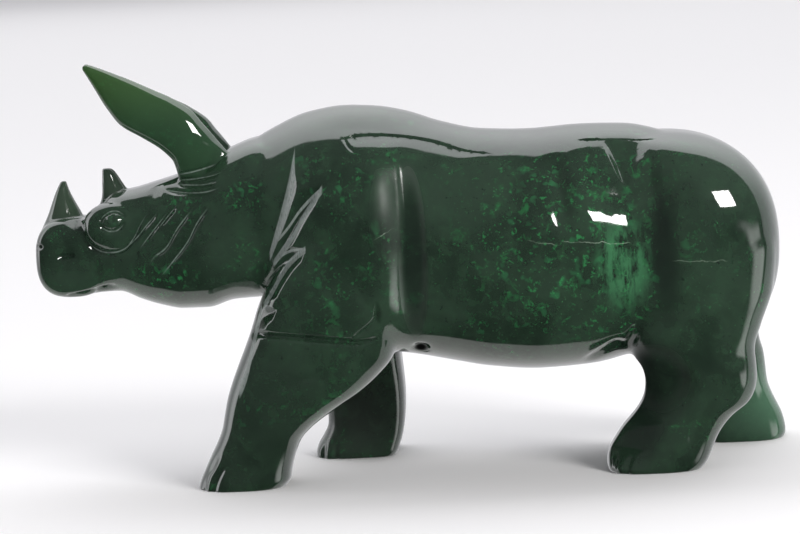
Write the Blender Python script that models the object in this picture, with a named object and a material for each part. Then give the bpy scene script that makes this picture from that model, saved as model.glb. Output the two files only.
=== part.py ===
"""A rhinoceros figurine carved from one piece of dark green nephrite jade.

It walks on four flat soles, head towards -X, left side towards -Y. Every station below is in
millimetres in the carving's own side view: x runs from the nose back to the rump and z up from the
soles. At the end the figure is moved so that the middle of its box is above the origin.
"""

import bmesh
import bpy
import numpy as np

LENGTH = 0.1255  # nose to the heel of the far hind foot, in metres
STATION_LENGTH = 125.5  # the same length in the stations' own millimetres
VOXEL = 0.55
RING = 64
TRIANGLES = 9000
SOLE_CUT = 0.25  # the rounded lowest skin of the feet is ground off to here
SMOOTHING = 14  # steps of smoothing at the joins between the masses

# Along the body: x, underside, back, half width.
TORSO = [
    (-24, 32.0, 55.6, 12.0), (-20, 29.0, 57.8, 16.5), (-14, 25.0, 60.2, 19.0), (-8, 21.9, 61.0, 20.4),
    (-3, 20.4, 60.7, 20.8), (2, 19.6, 59.7, 20.2), (8, 18.3, 57.6, 19.9), (14.5, 17.0, 56.1, 20.3),
    (22.5, 16.3, 55.7, 21.0), (31, 16.7, 56.1, 20.9), (38, 18.2, 55.9, 20.2), (44, 19.9, 54.6, 20.2),
    (52, 22.0, 50.0, 18.0),
]
# Half width in front of the shoulder, along the slanted neck fold.
SHOULDER_FRONT = [(-32, 9.5), (-27, 11.8), (-23, 13.9), (-18.5, 16.5), (-14, 18.6), (-8.5, 20.3), (-3, 20.8)]
FOLD_SLANT = 0.19  # how far the neck fold runs forward for each millimetre down
FOLD_MIDDLE = 43.0  # the height where the slant changes nothing
HEAD = [
    (-59, 32.8, 43.0, 4.9), (-56, 31.6, 44.2, 6.0), (-53, 31.3, 43.6, 5.8), (-50, 31.7, 45.2, 6.8),
    (-46.8, 31.8, 48.2, 8.2), (-43, 30.3, 49.0, 9.3), (-40, 29.3, 49.8, 10.2), (-36, 28.5, 50.9, 11.4),
    (-32, 28.5, 52.5, 12.4), (-27.5, 29.7, 54.8, 13.4), (-22, 30.0, 56.4, 14.0), (-16, 31.0, 56.0, 13.0),
]
# Up each leg: z, front, rear, middle across, half width.
LEGS = {
    "near_fore": [
        (0, -34.3, -19.9, -12.6, 6.6), (1.3, -33.9, -19.0, -12.6, 6.7), (2.6, -33.3, -18.8, -12.6, 6.6),
        (5.9, -31.7, -17.8, -12.6, 6.4), (7.6, -30.8, -17.0, -12.6, 6.4), (9.8, -29.9, -14.8, -12.5, 6.6),
        (12.6, -29.3, -10.6, -12.3, 7.0), (14.7, -28.8, -7.2, -12.1, 7.4), (17.6, -27.8, -3.8, -11.8, 8.0),
        (20.5, -26.6, -1.4, -11.5, 8.5), (25, -24.7, -0.2, -11.0, 9.3), (30, -22.9, 0.1, -10.5, 9.9),
        (38, -18.6, -0.8, -9.8, 10.0), (46, -15.0, -4.0, -8.0, 8.5),
    ],
    "far_fore": [
        (0, -16.2, -2.4, 12.6, 6.6), (1.1, -16.1, -1.8, 12.6, 6.7), (2.1, -15.7, -1.5, 12.6, 6.6),
        (3.3, -14.9, -1.1, 12.6, 6.5), (6, -13.8, -0.6, 12.6, 6.4), (8, -13.8, -0.4, 12.5, 6.5),
        (10.6, -14.4, -0.3, 12.4, 6.7), (13.2, -15.4, -0.4, 12.2, 7.0), (16, -16.8, -0.6, 12.0, 7.5),
        (20.5, -18.6, -0.8, 11.5, 8.3), (25, -20.0, -0.6, 11.0, 9.1), (30, -20.4, -0.3, 10.5, 9.8),
        (38, -18.6, -0.8, 9.8, 10.0), (46, -15.0, -4.0, 8.0, 8.5),
    ],
    "near_hind": [
        (0, 33.1, 48.0, -12.4, 6.6), (1, 32.8, 48.9, -12.4, 6.7), (2.5, 32.9, 49.7, -12.4, 6.6),
        (4, 33.5, 50.3, -12.4, 6.5), (5.6, 34.5, 51.1, -12.4, 6.4), (7.4, 35.8, 52.4, -12.4, 6.4),
        (8.8, 37.1, 53.8, -12.4, 6.5), (10.6, 38.5, 56.2, -12.3, 6.8), (12.5, 39.4, 57.2, -12.2, 7.1),
        (14.5, 39.6, 57.6, -12.0, 7.5), (16.6, 39.1, 57.6, -11.7, 7.9), (19, 37.6, 57.4, -11.4, 8.3),
        (23, 36.8, 58.6, -11.0, 8.8), (29, 38.0, 60.8, -10.3, 9.4), (36, 40.5, 61.6, -9.4, 9.6),
        (44, 45.0, 55.0, -8.0, 7.5),
    ],
    "far_hind": [
        (0, 49.8, 64.3, 12.4, 6.6), (1.2, 49.4, 64.8, 12.4, 6.7), (2.8, 49.4, 64.6, 12.4, 6.6),
        (4.6, 49.3, 64.1, 12.4, 6.5), (6.3, 49.0, 63.3, 12.4, 6.4), (8.1, 48.2, 62.5, 12.4, 6.5),
        (9.9, 47.0, 61.9, 12.3, 6.7), (12, 45.4, 61.7, 12.2, 7.1), (15, 43.0, 61.4, 11.9, 7.6),
        (18, 41.2, 60.6, 11.5, 8.1), (23, 39.2, 60.4, 11.0, 8.8), (29, 39.0, 61.2, 10.3, 9.4),
        (36, 40.5, 61.6, 9.4, 9.6), (44, 45.0, 55.0, 8.0, 7.5),
    ],
}
# Up each horn: z, front, rear, middle across, half width.
HORNS = {
    "nose": [
        (38, -60.0, -51.5, 0, 4.6), (41, -60.2, -51.4, 0, 4.2), (43.1, -59.3, -51.9, 0, 3.5),
        (44.9, -58.4, -52.6, 0, 2.9), (46.9, -57.6, -53.6, 0, 2.2), (48.6, -56.9, -54.4, 0, 1.5),
        (49.8, -56.3, -54.8, 0, 1.0), (50.5, -55.9, -55.0, 0, 0.65),
    ],
    "brow": [
        (42, -50.2, -41.6, 0, 3.0), (46, -49.7, -42.6, 0, 2.5), (47.4, -49.2, -43.7, 0, 2.2),
        (48.4, -49.05, -44.6, 0, 1.9), (49.6, -49.0, -45.4, 0, 1.6), (50.8, -48.95, -46.1, 0, 1.3),
        (51.6, -48.9, -46.6, 0, 1.15), (52.3, -48.85, -47.3, 0, 1.0),
    ],
}
# Along an ear from its root: distance, lower edge, upper edge, half thickness.
EAR = [
    (-4, -6.6, 3.0, 1.0), (0.5, -5.8, 3.9, 2.1), (2.8, -4.2, 4.3, 2.7), (4.4, -3.3, 4.6, 2.8),
    (6.9, -3.1, 5.1, 2.6), (10.6, -3.5, 4.75, 2.35), (14.2, -4.0, 3.9, 2.05), (17.7, -3.2, 3.0, 1.7),
    (21, -1.95, 2.0, 1.25), (23.6, -0.95, 1.15, 0.95), (25.0, -0.45, 0.6, 0.7),
]
EAR_ROOT = (-30.8, 53.45)
EAR_ALONG = (-0.759, 0.651)
EAR_OUT = 7.4  # middle of the root from the centre line
EAR_SPLAY = 0.07
EAR_RIM = 1.2  # how much the bevel along the upper outer edge takes off
EAR_BEVEL = (0.88, 0.47)  # the way the bevel faces: up, out
FAR_EAR_SHIFT = (0.9, -2.1)  # the far ear sits a little further back and lower

# How square each ring is, where 2 is round: first its upper or rear half, then the other.
BODY_SQUARE = (2.15, 3.0)
HEAD_SQUARE = (3.2, 2.7)
EAR_SQUARE = (2.0, 2.0)
LEG_SQUARE = {
    "near_fore": (2.6, 2.6), "far_fore": (4.5, 3.6), "near_hind": (2.6, 3.2), "far_hind": (2.6, 3.6),
}
HORN_SQUARE = {"nose": (1.5, 2.1), "brow": (1.5, 2.6)}
# Lumps: middle, radii, how square the outline is from the side, how flat the sides are.
LUMPS = {
    "hips": ((44.0, 0.0, 35.9), (18.8, 20.2, 18.5), 2.3, 3.2),
    "muzzle": ((-54.3, 0.0, 37.9), (6.0, 7.0, 6.6), 2.7, 5.0),
    "near brow": ((-46.2, -5.1, 42.9), (5.7, 4.1, 4.2), 2.2, 2.6),
    "far brow": ((-46.2, 5.1, 42.9), (5.7, 4.1, 4.2), 2.2, 2.6),
}

# Wedge cuts: name, points (x, z), depth, width of the wall on the right of the line, width on its
# left, share faded in, share faded out. The narrow wall is steep and catches the light.
WEDGES = [
    ("neck fold", [(-22.9, 31.5), (-22.0, 34.6), (-20.2, 39.2), (-18.4, 43.4), (-17.3, 47.0), (-16.5, 50.2),
                   (-15.8, 53.6)], 1.1, 1.5, 3.4, 0.2, 0.2),
    ("shoulder fold 1", [(-20.6, 36.0), (-19.1, 38.4), (-17.1, 41.2), (-15.6, 43.6), (-13.6, 46.5), (-11.2, 49.3)],
     1.2, 1.35, 2.4, 0.15, 0.2),
    ("shoulder fold 2", [(-21.4, 30.6), (-20.2, 33.0), (-18.9, 34.9), (-17.4, 36.7), (-15.9, 38.0), (-13.9, 39.5)],
     1.2, 1.35, 2.2, 0.15, 0.25),
    ("shoulder fold 3", [(-24.6, 24.2), (-23.3, 26.4), (-21.8, 28.2), (-19.2, 29.8)], 1.0, 1.2, 2.0, 0.2, 0.3),
    ("ledge", [(-7.6, 56.3), (-3.4, 56.6), (1.5, 56.1), (6.8, 54.8), (11.6, 53.3), (17.4, 52.5)],
     0.65, 2.1, 0.55, 0.05, 0.45),
    ("ledge end", [(-7.8, 56.6), (-6.9, 54.9), (-5.3, 53.4)], 0.4, 0.35, 0.7, 0.1, 0.5),
    ("elbow", [(-23.8, 25.6), (-16.0, 25.0), (-9.4, 24.2), (-6.1, 23.9), (-2.8, 24.9)], 0.85, 0.7, 0.9, 0.05, 0.2),
    ("elbow bend", [(-3.2, 31.5), (-3.9, 28.2), (-5.9, 25.8), (-8.6, 24.3)], 0.7, 0.6, 1.2, 0.3, 0.3),
]
# Round grooves: name, points (x, z), depth, half width, share faded in, share faded out.
GROOVES = [
    ("rib 1", [(9.3, 53.5), (8.5, 46.2), (8.2, 36.6), (8.9, 26.5)], 0.25, 2.4, 0.3, 0.4),
    ("rib 2", [(19.6, 53.0), (19.6, 46.8), (19.2, 40.2), (18.6, 30.1)], 0.6, 2.0, 0.3, 0.5),
    ("rib 3", [(26.0, 52.6), (26.4, 49.0), (26.9, 45.3), (27.1, 41.5), (27.1, 38.5)], 1.15, 1.45, 0.25, 0.45),
    ("rib 3 low", [(27.1, 42.0), (27.4, 36.0), (26.6, 26.3)], 0.35, 1.9, 0.4, 0.5),
    ("rib 4", [(29.8, 53.0), (30.4, 50.2), (31.2, 47.6), (31.8, 45.4)], 0.5, 1.5, 0.25, 0.5),
    ("rib 4 low", [(34.2, 37.5), (33.6, 33.0), (32.6, 27.7)], 0.35, 2.0, 0.4, 0.5),
    ("flank", [(28.6, 17.2), (32.8, 20.3), (34.8, 21.4), (36.6, 21.3), (38.4, 24.7), (39.2, 28.0)],
     0.5, 0.8, 0.2, 0.3),
    ("thigh", [(56.0, 43.7), (54.8, 38.1), (53.3, 33.4), (52.6, 27.7), (52.4, 23.2), (53.0, 17.2)],
     0.35, 1.8, 0.4, 0.3),
]
HEAD_LINES = [
    ("under the ear", [(-38.5, 49.3), (-36.0, 48.6), (-32.1, 48.4), (-29.5, 48.8), (-28.0, 49.9)],
     0.35, 0.5, 0.3, 0.3),
    ("brow ring", [(-50.3, 44.9), (-51.7, 42.7), (-50.9, 40.7), (-49.4, 39.3), (-47.4, 38.9),
                   (-45.1, 39.4), (-43.4, 41.0), (-41.9, 43.5), (-40.3, 45.8)], 0.45, 0.5, 0.4, 0.3),
    ("cheek 1", [(-38.8, 45.5), (-40.9, 43.3), (-42.9, 41.1), (-44.6, 39.7)], 0.3, 0.45, 0.2, 0.3),
    ("cheek 2", [(-32.9, 45.9), (-35.7, 42.7), (-37.8, 39.6), (-40.2, 37.7), (-40.9, 36.2)],
     0.3, 0.45, 0.2, 0.3),
    ("cheek 3", [(-30.0, 46.4), (-32.3, 43.6), (-34.1, 40.5), (-36.5, 37.6), (-38.9, 34.9)],
     0.3, 0.45, 0.2, 0.3),
    ("nostril", [(-56.6, 38.2), (-54.9, 38.6), (-53.2, 38.6)], 0.6, 0.6, 0.4, 0.15),
    ("mouth", [(-55.6, 31.4), (-53.6, 31.7), (-49.9, 32.4), (-46.3, 33.4)], 0.6, 0.5, 0.1, 0.3),
]
NEAR_LINES = [
    ("fore muscle", [(-8.9, 20.9), (-11.9, 18.9), (-16.3, 18.1), (-22.3, 15.7), (-26.5, 12.0)], 0.2, 0.7, 0.4, 0.4),
    ("tendon", [(50.9, 13.8), (48.6, 10.3), (46.7, 6.5), (45.4, 2.1)], 0.4, 0.9, 0.3, 0.3),
    ("fore toe 1", [(-29.8, 7.0), (-31.6, 4.2), (-32.8, 2.6), (-33.4, -0.3)], 0.4, 0.5, 0.5, 0),
    ("fore toe 2", [(-28.3, 6.0), (-30.6, 2.6), (-31.6, -0.3)], 0.4, 0.5, 0.5, 0),
    ("hind toe 1", [(37.6, 4.3), (35.9, 1.9), (35.5, -0.3)], 0.35, 0.5, 0.5, 0),
    ("hind toe 2", [(34.8, 4.0), (33.6, 1.8), (33.2, -0.3)], 0.3, 0.5, 0.5, 0),
]
FAR_LINES = [
    ("fore toe 1", [(-12.0, 4.5), (-12.6, 1.9), (-12.6, -0.3)], 0.4, 0.5, 0.5, 0),
    ("fore toe 2", [(-14.2, 3.4), (-14.8, 1.6), (-14.9, -0.3)], 0.4, 0.5, 0.5, 0),
    ("hind toe 1", [(52.4, 4.3), (51.9, 1.9), (51.7, -0.3)], 0.35, 0.5, 0.5, 0),
    ("hind toe 2", [(50.3, 3.6), (50.0, 1.8), (49.9, -0.3)], 0.3, 0.5, 0.5, 0),
]
SHOULDER_REAR = [(0.5, 23.5), (0.2, 28.9), (0.2, 34.7), (0.6, 41.7), (0.6, 48.5), (0.0, 55.5)]
HIP_FRONT = [(38.0, 21.0), (38.9, 26.1), (39.6, 31.9), (40.2, 39.9), (41.4, 46.3), (43.4, 53.4)]
# The shoulder plate's edge: how far it rounds off and over what length, depth and width of the wall
# behind that, and how softly the ribs come up again.
SHOULDER_STEP = (0.75, 3.0, 0.75, 1.3, 6.5)
HIP_VALLEY = (2.9, 9.2, 3.3)  # depth, length of the ramp down to it, width of the rise to the hip
HOLLOW = ((32.9, 54.0), (43.6, 53.8), (37.9, 43.2))  # corners (x, z): front, hind and foot
HOLLOW_FOOT_OUT = 18.0  # how far out the flat cut starts at its foot
HOLLOW_LEAN = 0.66  # how far it leans in for each millimetre up
HOLLOW_WALLS = (0.6, 0.14, 5.0)  # width of the front wall at the foot, its growth upwards, hind wall
HOLLOW_BLEND = 0.5
# Facets sloping up to the top of the muzzle and of the brow: how far out, how far in for each
# millimetre up, least distance from the middle, and the facet's lower edge as points (x, z).
FACETS = [
    (7.0, 1.5, 2.5, [(-61.0, 41.8), (-58.5, 42.8), (-56.3, 43.4), (-53.0, 42.4), (-51.2, 42.2)]),
    (8.9, 1.45, 3.2, [(-52.2, 43.0), (-50.8, 44.1), (-49.6, 45.4), (-47.9, 46.4), (-46.2, 46.9), (-42.0, 46.9),
                      (-38.0, 47.6)]),
]
FACET_DEPTH = 2.5  # the most that a facet takes off
FACET_HEIGHTS = (40.0, 52.0)  # the facets lie between these
# Under the hollow the side bends inwards above a sagging line: its lowest point (x, z), half its
# length, how far it rises to its ends, how fast it bends, and how far up.
BEND = ((36.5, 40.6), 5.5, 1.6, 0.045, 4.5)
HIND_FACET = (13.2, 0.82)  # how far out the facet down the hind leg's front starts, and its slope
SPOT = (3.1, -13.3, 21.6)  # the dark pit on the belly
# Soft swellings: middle (x, z), radii, height, whether only the near side has it.
SWELLINGS = [
    ((-9.5, 42.0), (7.5, 12.0), 0.5, False), ((50.0, 38.0), (8.0, 11.0), 0.5, False),
    ((-33.0, 36.0), (7.0, 6.0), 0.5, False), ((-3.6, 28.0), (3.2, 4.2), 0.9, True),
    ((54.0, 14.8), (2.5, 2.9), 0.5, True), ((0.0, 58.6), (13.0, 2.6), -0.55, False),
    ((SPOT[0], SPOT[2]), (1.1, 0.8), -1.0, True),
]
EYE = (-46.55, 44.15, 1.55, 1.15)  # middle (x, z) and half sizes of the eyeball


def table(rows, samples=600):
    """The rows' columns as smooth curves that never overshoot their stations."""
    a = np.array(rows, float)
    s = a[:, 0]
    step = np.diff(s)
    fine = np.linspace(s[0], s[-1], samples)
    i = np.clip(np.searchsorted(s, fine, side="right") - 1, 0, len(step) - 1)
    u = (fine - s[i]) / step[i]
    columns = [fine]
    for v in a.T[1:]:
        slope = np.diff(v) / step
        tangent = np.zeros(len(s))
        same = slope[1:] * slope[:-1] > 0
        before = (2 * step[1:] + step[:-1])[same]
        after = (step[1:] + 2 * step[:-1])[same]
        inner = np.zeros(len(s) - 2)
        inner[same] = (before + after) / (before / slope[:-1][same] + after / slope[1:][same])
        tangent[1:-1] = inner
        tangent[0], tangent[-1] = slope[0], slope[-1]
        columns.append(
            (2 * u**3 - 3 * u**2 + 1) * v[i] + (u**3 - 2 * u**2 + u) * step[i] * tangent[i]
            + (-2 * u**3 + 3 * u**2) * v[i + 1] + (u**3 - u**2) * step[i] * tangent[i + 1]
        )
    return columns


def read(columns, s):
    return [np.interp(s, columns[0], c) for c in columns[1:]]


def signed_power(v, p):
    return np.sign(v) * np.abs(v) ** p


def ring(low, high, middle, half, square_high, square_low):
    """A rounded-square ring: its coordinates across and up."""
    angle = 2 * np.pi * np.arange(RING) / RING
    up, across = np.sin(angle), np.cos(angle)
    n = np.where(up > 0, square_high, square_low)
    return (middle + half * signed_power(across, 2 / n),
            (low + high) / 2 + (high - low) / 2 * signed_power(up, 2 / n))


def skin(bm, rings):
    """Joins rings of equal count into one closed body."""
    loops = [[bm.verts.new(p) for p in r] for r in rings]
    n = len(loops[0])
    for a, b in zip(loops, loops[1:]):
        for i in range(n):
            bm.faces.new((a[i], a[(i + 1) % n], b[(i + 1) % n], b[i]))
    bm.faces.new(loops[0][::-1])
    bm.faces.new(loops[-1])


def body(bm):
    columns = table(TORSO)
    front = table(SHOULDER_FRONT)
    rings = []
    for x in np.linspace(TORSO[0][0], TORSO[-1][0], 96):
        low, high, half = read(columns, x)
        across, up = ring(low, high, 0.0, 1.0, *BODY_SQUARE)
        slant = FOLD_SLANT * np.clip(-x / 8.0, 0, 1)
        width = read(front, x + slant * (up - FOLD_MIDDLE))[0] if x < -3 else half
        rings.append(np.column_stack([np.full(len(up), x), across * width, up]))
    skin(bm, rings)


def head(bm):
    columns = table(HEAD)
    rings = []
    for x in np.linspace(HEAD[0][0], HEAD[-1][0], 80):
        low, high, half = read(columns, x)
        across, up = ring(low, high, 0.0, half, *HEAD_SQUARE)
        rings.append(np.column_stack([np.full(len(up), x), across, up]))
    skin(bm, rings)


def upright(bm, rows, square):
    """A leg or a horn: rings stacked up z."""
    columns = table(rows)
    rings = []
    for z in np.linspace(rows[0][0], rows[-1][0], 72):
        front, rear, middle, half = read(columns, z)
        across, along = ring(front, rear, middle, half, *square)
        rings.append(np.column_stack([along, across, np.full(len(along), z)])[::-1])
    skin(bm, rings)


def ear(bm, side, shift):
    columns = table(EAR)
    rings = []
    for s in np.linspace(EAR[0][0], EAR[-1][0], 64):
        low, high, half = read(columns, s)
        out, up = ring(low, high, 0.0, half, *EAR_SQUARE)
        rim = EAR_RIM * min(half / 2.2, 1.0)
        proud = np.maximum(EAR_BEVEL[0] * (up - high) + EAR_BEVEL[1] * (out - half) + rim, 0)
        out, up = out - EAR_BEVEL[1] * proud, up - EAR_BEVEL[0] * proud
        x = EAR_ROOT[0] + shift[0] + s * EAR_ALONG[0] + up * EAR_ALONG[1]
        z = EAR_ROOT[1] + shift[1] + s * EAR_ALONG[1] - up * EAR_ALONG[0]
        rings.append(np.column_stack([x, side * (EAR_OUT + EAR_SPLAY * s + out), z])[:: -side])
    skin(bm, rings)


def lump(bm, middle, radii, outline, flatness):
    """A ball pushed towards a thick disc: its outline seen from the side, and how flat its sides are."""
    around = 2 * np.pi * np.arange(RING) / RING
    rings = []
    for tilt in np.linspace(-1.56, 1.56, 48):
        x, z = np.cos(tilt) * np.cos(around), np.cos(tilt) * np.sin(around)
        y = np.full(RING, np.sin(tilt))
        seen = (np.abs(x) ** outline + np.abs(z) ** outline) ** (1 / outline)
        size = (seen**flatness + np.abs(y) ** flatness) ** (1 / flatness)
        rings.append(np.array(middle) + np.array(radii) * np.column_stack([x, y, z]) / size[:, None])
    skin(bm, rings)


def rough_out():
    """Every mass of the animal, overlapping, ready to be fused."""
    bm = bmesh.new()
    body(bm)
    head(bm)
    for name, rows in LEGS.items():
        upright(bm, rows, LEG_SQUARE[name])
    for name, rows in HORNS.items():
        upright(bm, rows, HORN_SQUARE[name])
    for shape in LUMPS.values():
        lump(bm, *shape)
    ear(bm, -1, (0.0, 0.0))
    ear(bm, 1, FAR_EAR_SHIFT)
    bmesh.ops.recalc_face_normals(bm, faces=bm.faces[:])
    mesh = bpy.data.meshes.new("rough")
    bm.to_mesh(mesh)
    bm.free()
    return mesh


def evaluated(obj):
    """The object's mesh with its modifiers applied."""
    bpy.context.view_layer.update()
    graph = bpy.context.evaluated_depsgraph_get()
    return bpy.data.meshes.new_from_object(obj.evaluated_get(graph))


def swap_mesh(obj, mesh):
    old = obj.data
    obj.modifiers.clear()
    obj.data = mesh
    bpy.data.meshes.remove(old)


def points_of(mesh):
    flat = np.empty(3 * len(mesh.vertices), np.float32)
    mesh.vertices.foreach_get("co", flat)
    return flat.reshape(-1, 3).astype(float)


def normals_of(mesh):
    flat = np.empty(3 * len(mesh.vertices), np.float32)
    mesh.vertex_normals.foreach_get("vector", flat)
    return flat.reshape(-1, 3).astype(float)


def put_points(mesh, points):
    mesh.vertices.foreach_set("co", points.astype(np.float32).ravel())
    mesh.update()


def blend(obj):
    """Softens the joins between body and legs, and leaves ears, horns and soles crisp."""
    mesh = obj.data
    x, y, z = points_of(mesh).T
    soft = np.interp(x, [-24, -17], [0.25, 1.0])
    soft *= np.interp(z, [1.0, 9.0], [0.15, 1.0])
    ears = (z > 49.5) & (x < -24)
    horns = (np.abs(y) < 4.5) & (z > 44.0) & (x < -42)
    soft[ears | horns] = 0.06
    group = obj.vertex_groups.new(name="soft")
    for level in range(1, 21):
        members = np.nonzero(np.ceil(soft * 20) == level)[0].tolist()
        if members:
            group.add(members, level / 20, "REPLACE")
    smooth = obj.modifiers.new("soften joins", "SMOOTH")
    smooth.factor = 0.5
    smooth.iterations = SMOOTHING
    smooth.vertex_group = group.name


def curve_through(points, per=8):
    p = np.array(points, float)
    q = np.vstack([2 * p[0] - p[1], p, 2 * p[-1] - p[-2]])
    t = (np.arange(per) / per)[:, None]
    out = []
    for a, b, c, d in zip(q, q[1:], q[2:], q[3:]):
        bend = (2 * a - 5 * b + 4 * c - d) * t**2 + (3 * b - a - 3 * c + d) * t**3
        out.append(0.5 * (2 * b + (c - a) * t + bend))
    return np.vstack(out + [p[-1:]])


def from_line(points, line):
    """Distance to the line, its side (positive to the right along it), and the share along it."""
    best = np.full(len(points), np.inf)
    side = np.zeros(len(points))
    share = np.zeros(len(points))
    lengths = np.linalg.norm(np.diff(line, axis=0), axis=1)
    run = np.concatenate([[0], np.cumsum(lengths)])
    for i, (a, b) in enumerate(zip(line, line[1:])):
        along = b - a
        w = points - a
        t = np.clip(w @ along / (along @ along), 0, 1)
        off = w - t[:, None] * along
        d = np.hypot(off[:, 0], off[:, 1])
        near = d < best
        best[near] = d[near]
        side[near] = np.sign(along[1] * w[near, 0] - along[0] * w[near, 1])
        share[near] = (run[i] + t[near] * lengths[i]) / run[-1]
    return best, side, share


def fade(share, first, last):
    f = np.ones_like(share)
    if first > 0:
        f *= np.clip(share / first, 0, 1)
    if last > 0:
        f *= np.clip((1 - share) / last, 0, 1)
    return f * f * (3 - 2 * f)


def smooth_step(value, low, high):
    t = np.clip((value - low) / (high - low), 0, 1)
    return t * t * (3 - 2 * t)


def plates(p):
    """The shoulder plate's step down to the ribs and the hip plate's rise."""
    move = np.zeros(len(p))
    d, side, share = from_line(p, curve_through(SHOULDER_REAR))
    q = d * side
    droop, length, depth, width, ramp = SHOULDER_STEP
    step = droop * np.clip(q / length + 1, 0, 1) ** 2 + depth * smooth_step(q, 0, width)
    move -= step * np.exp(-np.maximum(q, 0) / ramp) * fade(share, 0.2, 0.25)
    move += 0.3 * np.exp(-(((q + 4.0) / 2.5) ** 2)) * fade(share, 0.2, 0.2)
    d, side, share = from_line(p, curve_through(HIP_FRONT))
    q = d * side
    depth, ramp, rise = HIP_VALLEY
    valley = np.where(q < 0, soft_steps(q + ramp + 0.8, ramp), np.exp(-((q / rise) ** 2)))
    move -= depth * valley * fade(share, 0.85, 0.25)
    return move


def within(points, line, reach):
    """Which points lie in the line's own box, widened by its reach."""
    return np.nonzero(np.all((points > line.min(0) - reach) & (points < line.max(0) + reach), axis=1))[0]


def soft_steps(value, width):
    """0 below zero and 1 above width, with an even slope and short rounded ends."""
    t = np.clip(value / width, 0, 1)
    return t + 0.5 * (t * t * (3 - 2 * t) - t)


def bent(over, blend):
    """The value where it is positive, going softly to 0."""
    return 0.5 * (over + np.hypot(over, blend))


def hollow_cut(x, y, z):
    """The three-cornered hollow before the hip."""
    left, right, foot = HOLLOW
    up = z - foot[1]
    inside_left = (x - foot[0]) - (left[0] - foot[0]) * up / (left[1] - foot[1])
    inside_right = (foot[0] - x) + (right[0] - foot[0]) * up / (right[1] - foot[1])
    front_wall = HOLLOW_WALLS[0] + HOLLOW_WALLS[1] * np.maximum(up, 0)
    wall = soft_steps(inside_left, front_wall) * soft_steps(inside_right, HOLLOW_WALLS[2])
    over = np.abs(y) - HOLLOW_FOOT_OUT + HOLLOW_LEAN * up
    return bent(over, HOLLOW_BLEND) * (over > -2.0) * wall * np.clip((up + 1.0) / 2.0, 0, 1)


def bend_cut(x, z):
    """The bend inwards under the hollow."""
    (bx, bz), half, sag, rate, reach = BEND
    share = (x - bx) / half
    cut = rate * np.clip(z - bz - sag * share**2, 0, reach) ** 2
    return cut * smooth_step(-np.abs(share), -1.25, -0.85) * smooth_step(-z, -53.0, -46.0)


def facet_cut(x, y, z):
    """The facets along the top of the muzzle and of the brow."""
    cut = np.zeros(len(x))
    for out, lean, least, edge in FACETS:
        line = np.array(edge)
        flat = np.maximum(out - lean * (z - np.interp(x, line[:, 0], line[:, 1])), least)
        ends = np.clip((x - line[0, 0]) / 0.8, 0, 1) * np.clip((line[-1, 0] - x) / 1.5, 0, 1)
        cut = np.maximum(cut, np.clip(np.abs(y) - flat, 0, FACET_DEPTH) * ends)
    return cut * (z > FACET_HEIGHTS[0]) * (z < FACET_HEIGHTS[1])


def hind_leg_cut(x, y, z):
    """The facet down the front of the near hind leg."""
    columns = table(LEGS["near_hind"])
    ahead = x - np.interp(z, columns[0], columns[1])
    start, slope = HIND_FACET
    over = -y - start - slope * ahead
    cut = np.clip(bent(over, 0.6), 0, 5.0) * (over > -2.0) * (y < -10) * (x < 52)
    return cut * np.clip(ahead + 1.0, 0, 1) * np.clip((z - 1.0) / 3.0, 0, 1) * smooth_step(-z, -23.0, -12.0)


def flats(points):
    """How far each side is cut in, straight across."""
    x, y, z = points.T
    cut = np.maximum(hollow_cut(x, y, z), bend_cut(x, z) * (np.abs(y) > 10))
    return np.maximum(np.maximum(cut, facet_cut(x, y, z)), hind_leg_cut(x, y, z))


def carve(mesh):
    """Moves the surface along its normals: plates and swellings first, then the cut lines."""
    points = points_of(mesh)
    normals = normals_of(mesh)
    facing = np.clip((np.abs(normals[:, 1]) - 0.12) / 0.4, 0, 1)
    move = np.zeros(len(points))
    inwards = np.zeros(len(points))
    for side, own_lines in ((-1, NEAR_LINES), (1, FAR_LINES)):
        on = np.nonzero(side * points[:, 1] > 1.5)[0]
        p = points[on][:, [0, 2]]
        w = facing[on]
        m = plates(p) * w
        for (cx, cz), (rx, rz), height, near_only in SWELLINGS:
            if side < 0 or not near_only:
                m += height * np.exp(-(((p[:, 0] - cx) / rx) ** 2) - ((p[:, 1] - cz) / rz) ** 2) * w
        cuts = np.zeros(len(on))
        deep = np.zeros(len(on))
        for name, line, depth, width, first, last in GROOVES + HEAD_LINES + own_lines:
            line = curve_through(line)
            k = within(p, line, 3 * width)
            if len(k):
                d, right, share = from_line(p[k], line)
                cut = depth * np.exp(-((d / width) ** 2)) * fade(share, first, last) * w[k]
                cuts[k] = np.maximum(cuts[k], cut)
        for name, line, depth, width_right, width_left, first, last in WEDGES:
            line = curve_through(line)
            k = within(p, line, max(width_right, width_left))
            if len(k):
                d, right, share = from_line(p[k], line)
                size = fade(share, first, last)
                reach = np.where(right > 0, width_right, width_left) * np.maximum(size, 1e-3)
                cut = depth * size * soft_steps(1 - d / reach, 1.0) * w[k]
                deep[k] = np.maximum(deep[k], cut)
        ex, ez, erx, erz = EYE
        ball = 1 - ((p[:, 0] - ex) / erx) ** 2 - ((p[:, 1] - ez) / erz) ** 2
        m += 0.45 * np.clip(ball, 0, 1) ** 0.7 * w - cuts
        move[on] += m
        inwards[on] += deep
    points += normals * move[:, None]
    points[:, 1] -= np.sign(points[:, 1]) * inwards
    points[:, 1] -= np.sign(points[:, 1]) * flats(points)
    put_points(mesh, points)


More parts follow.
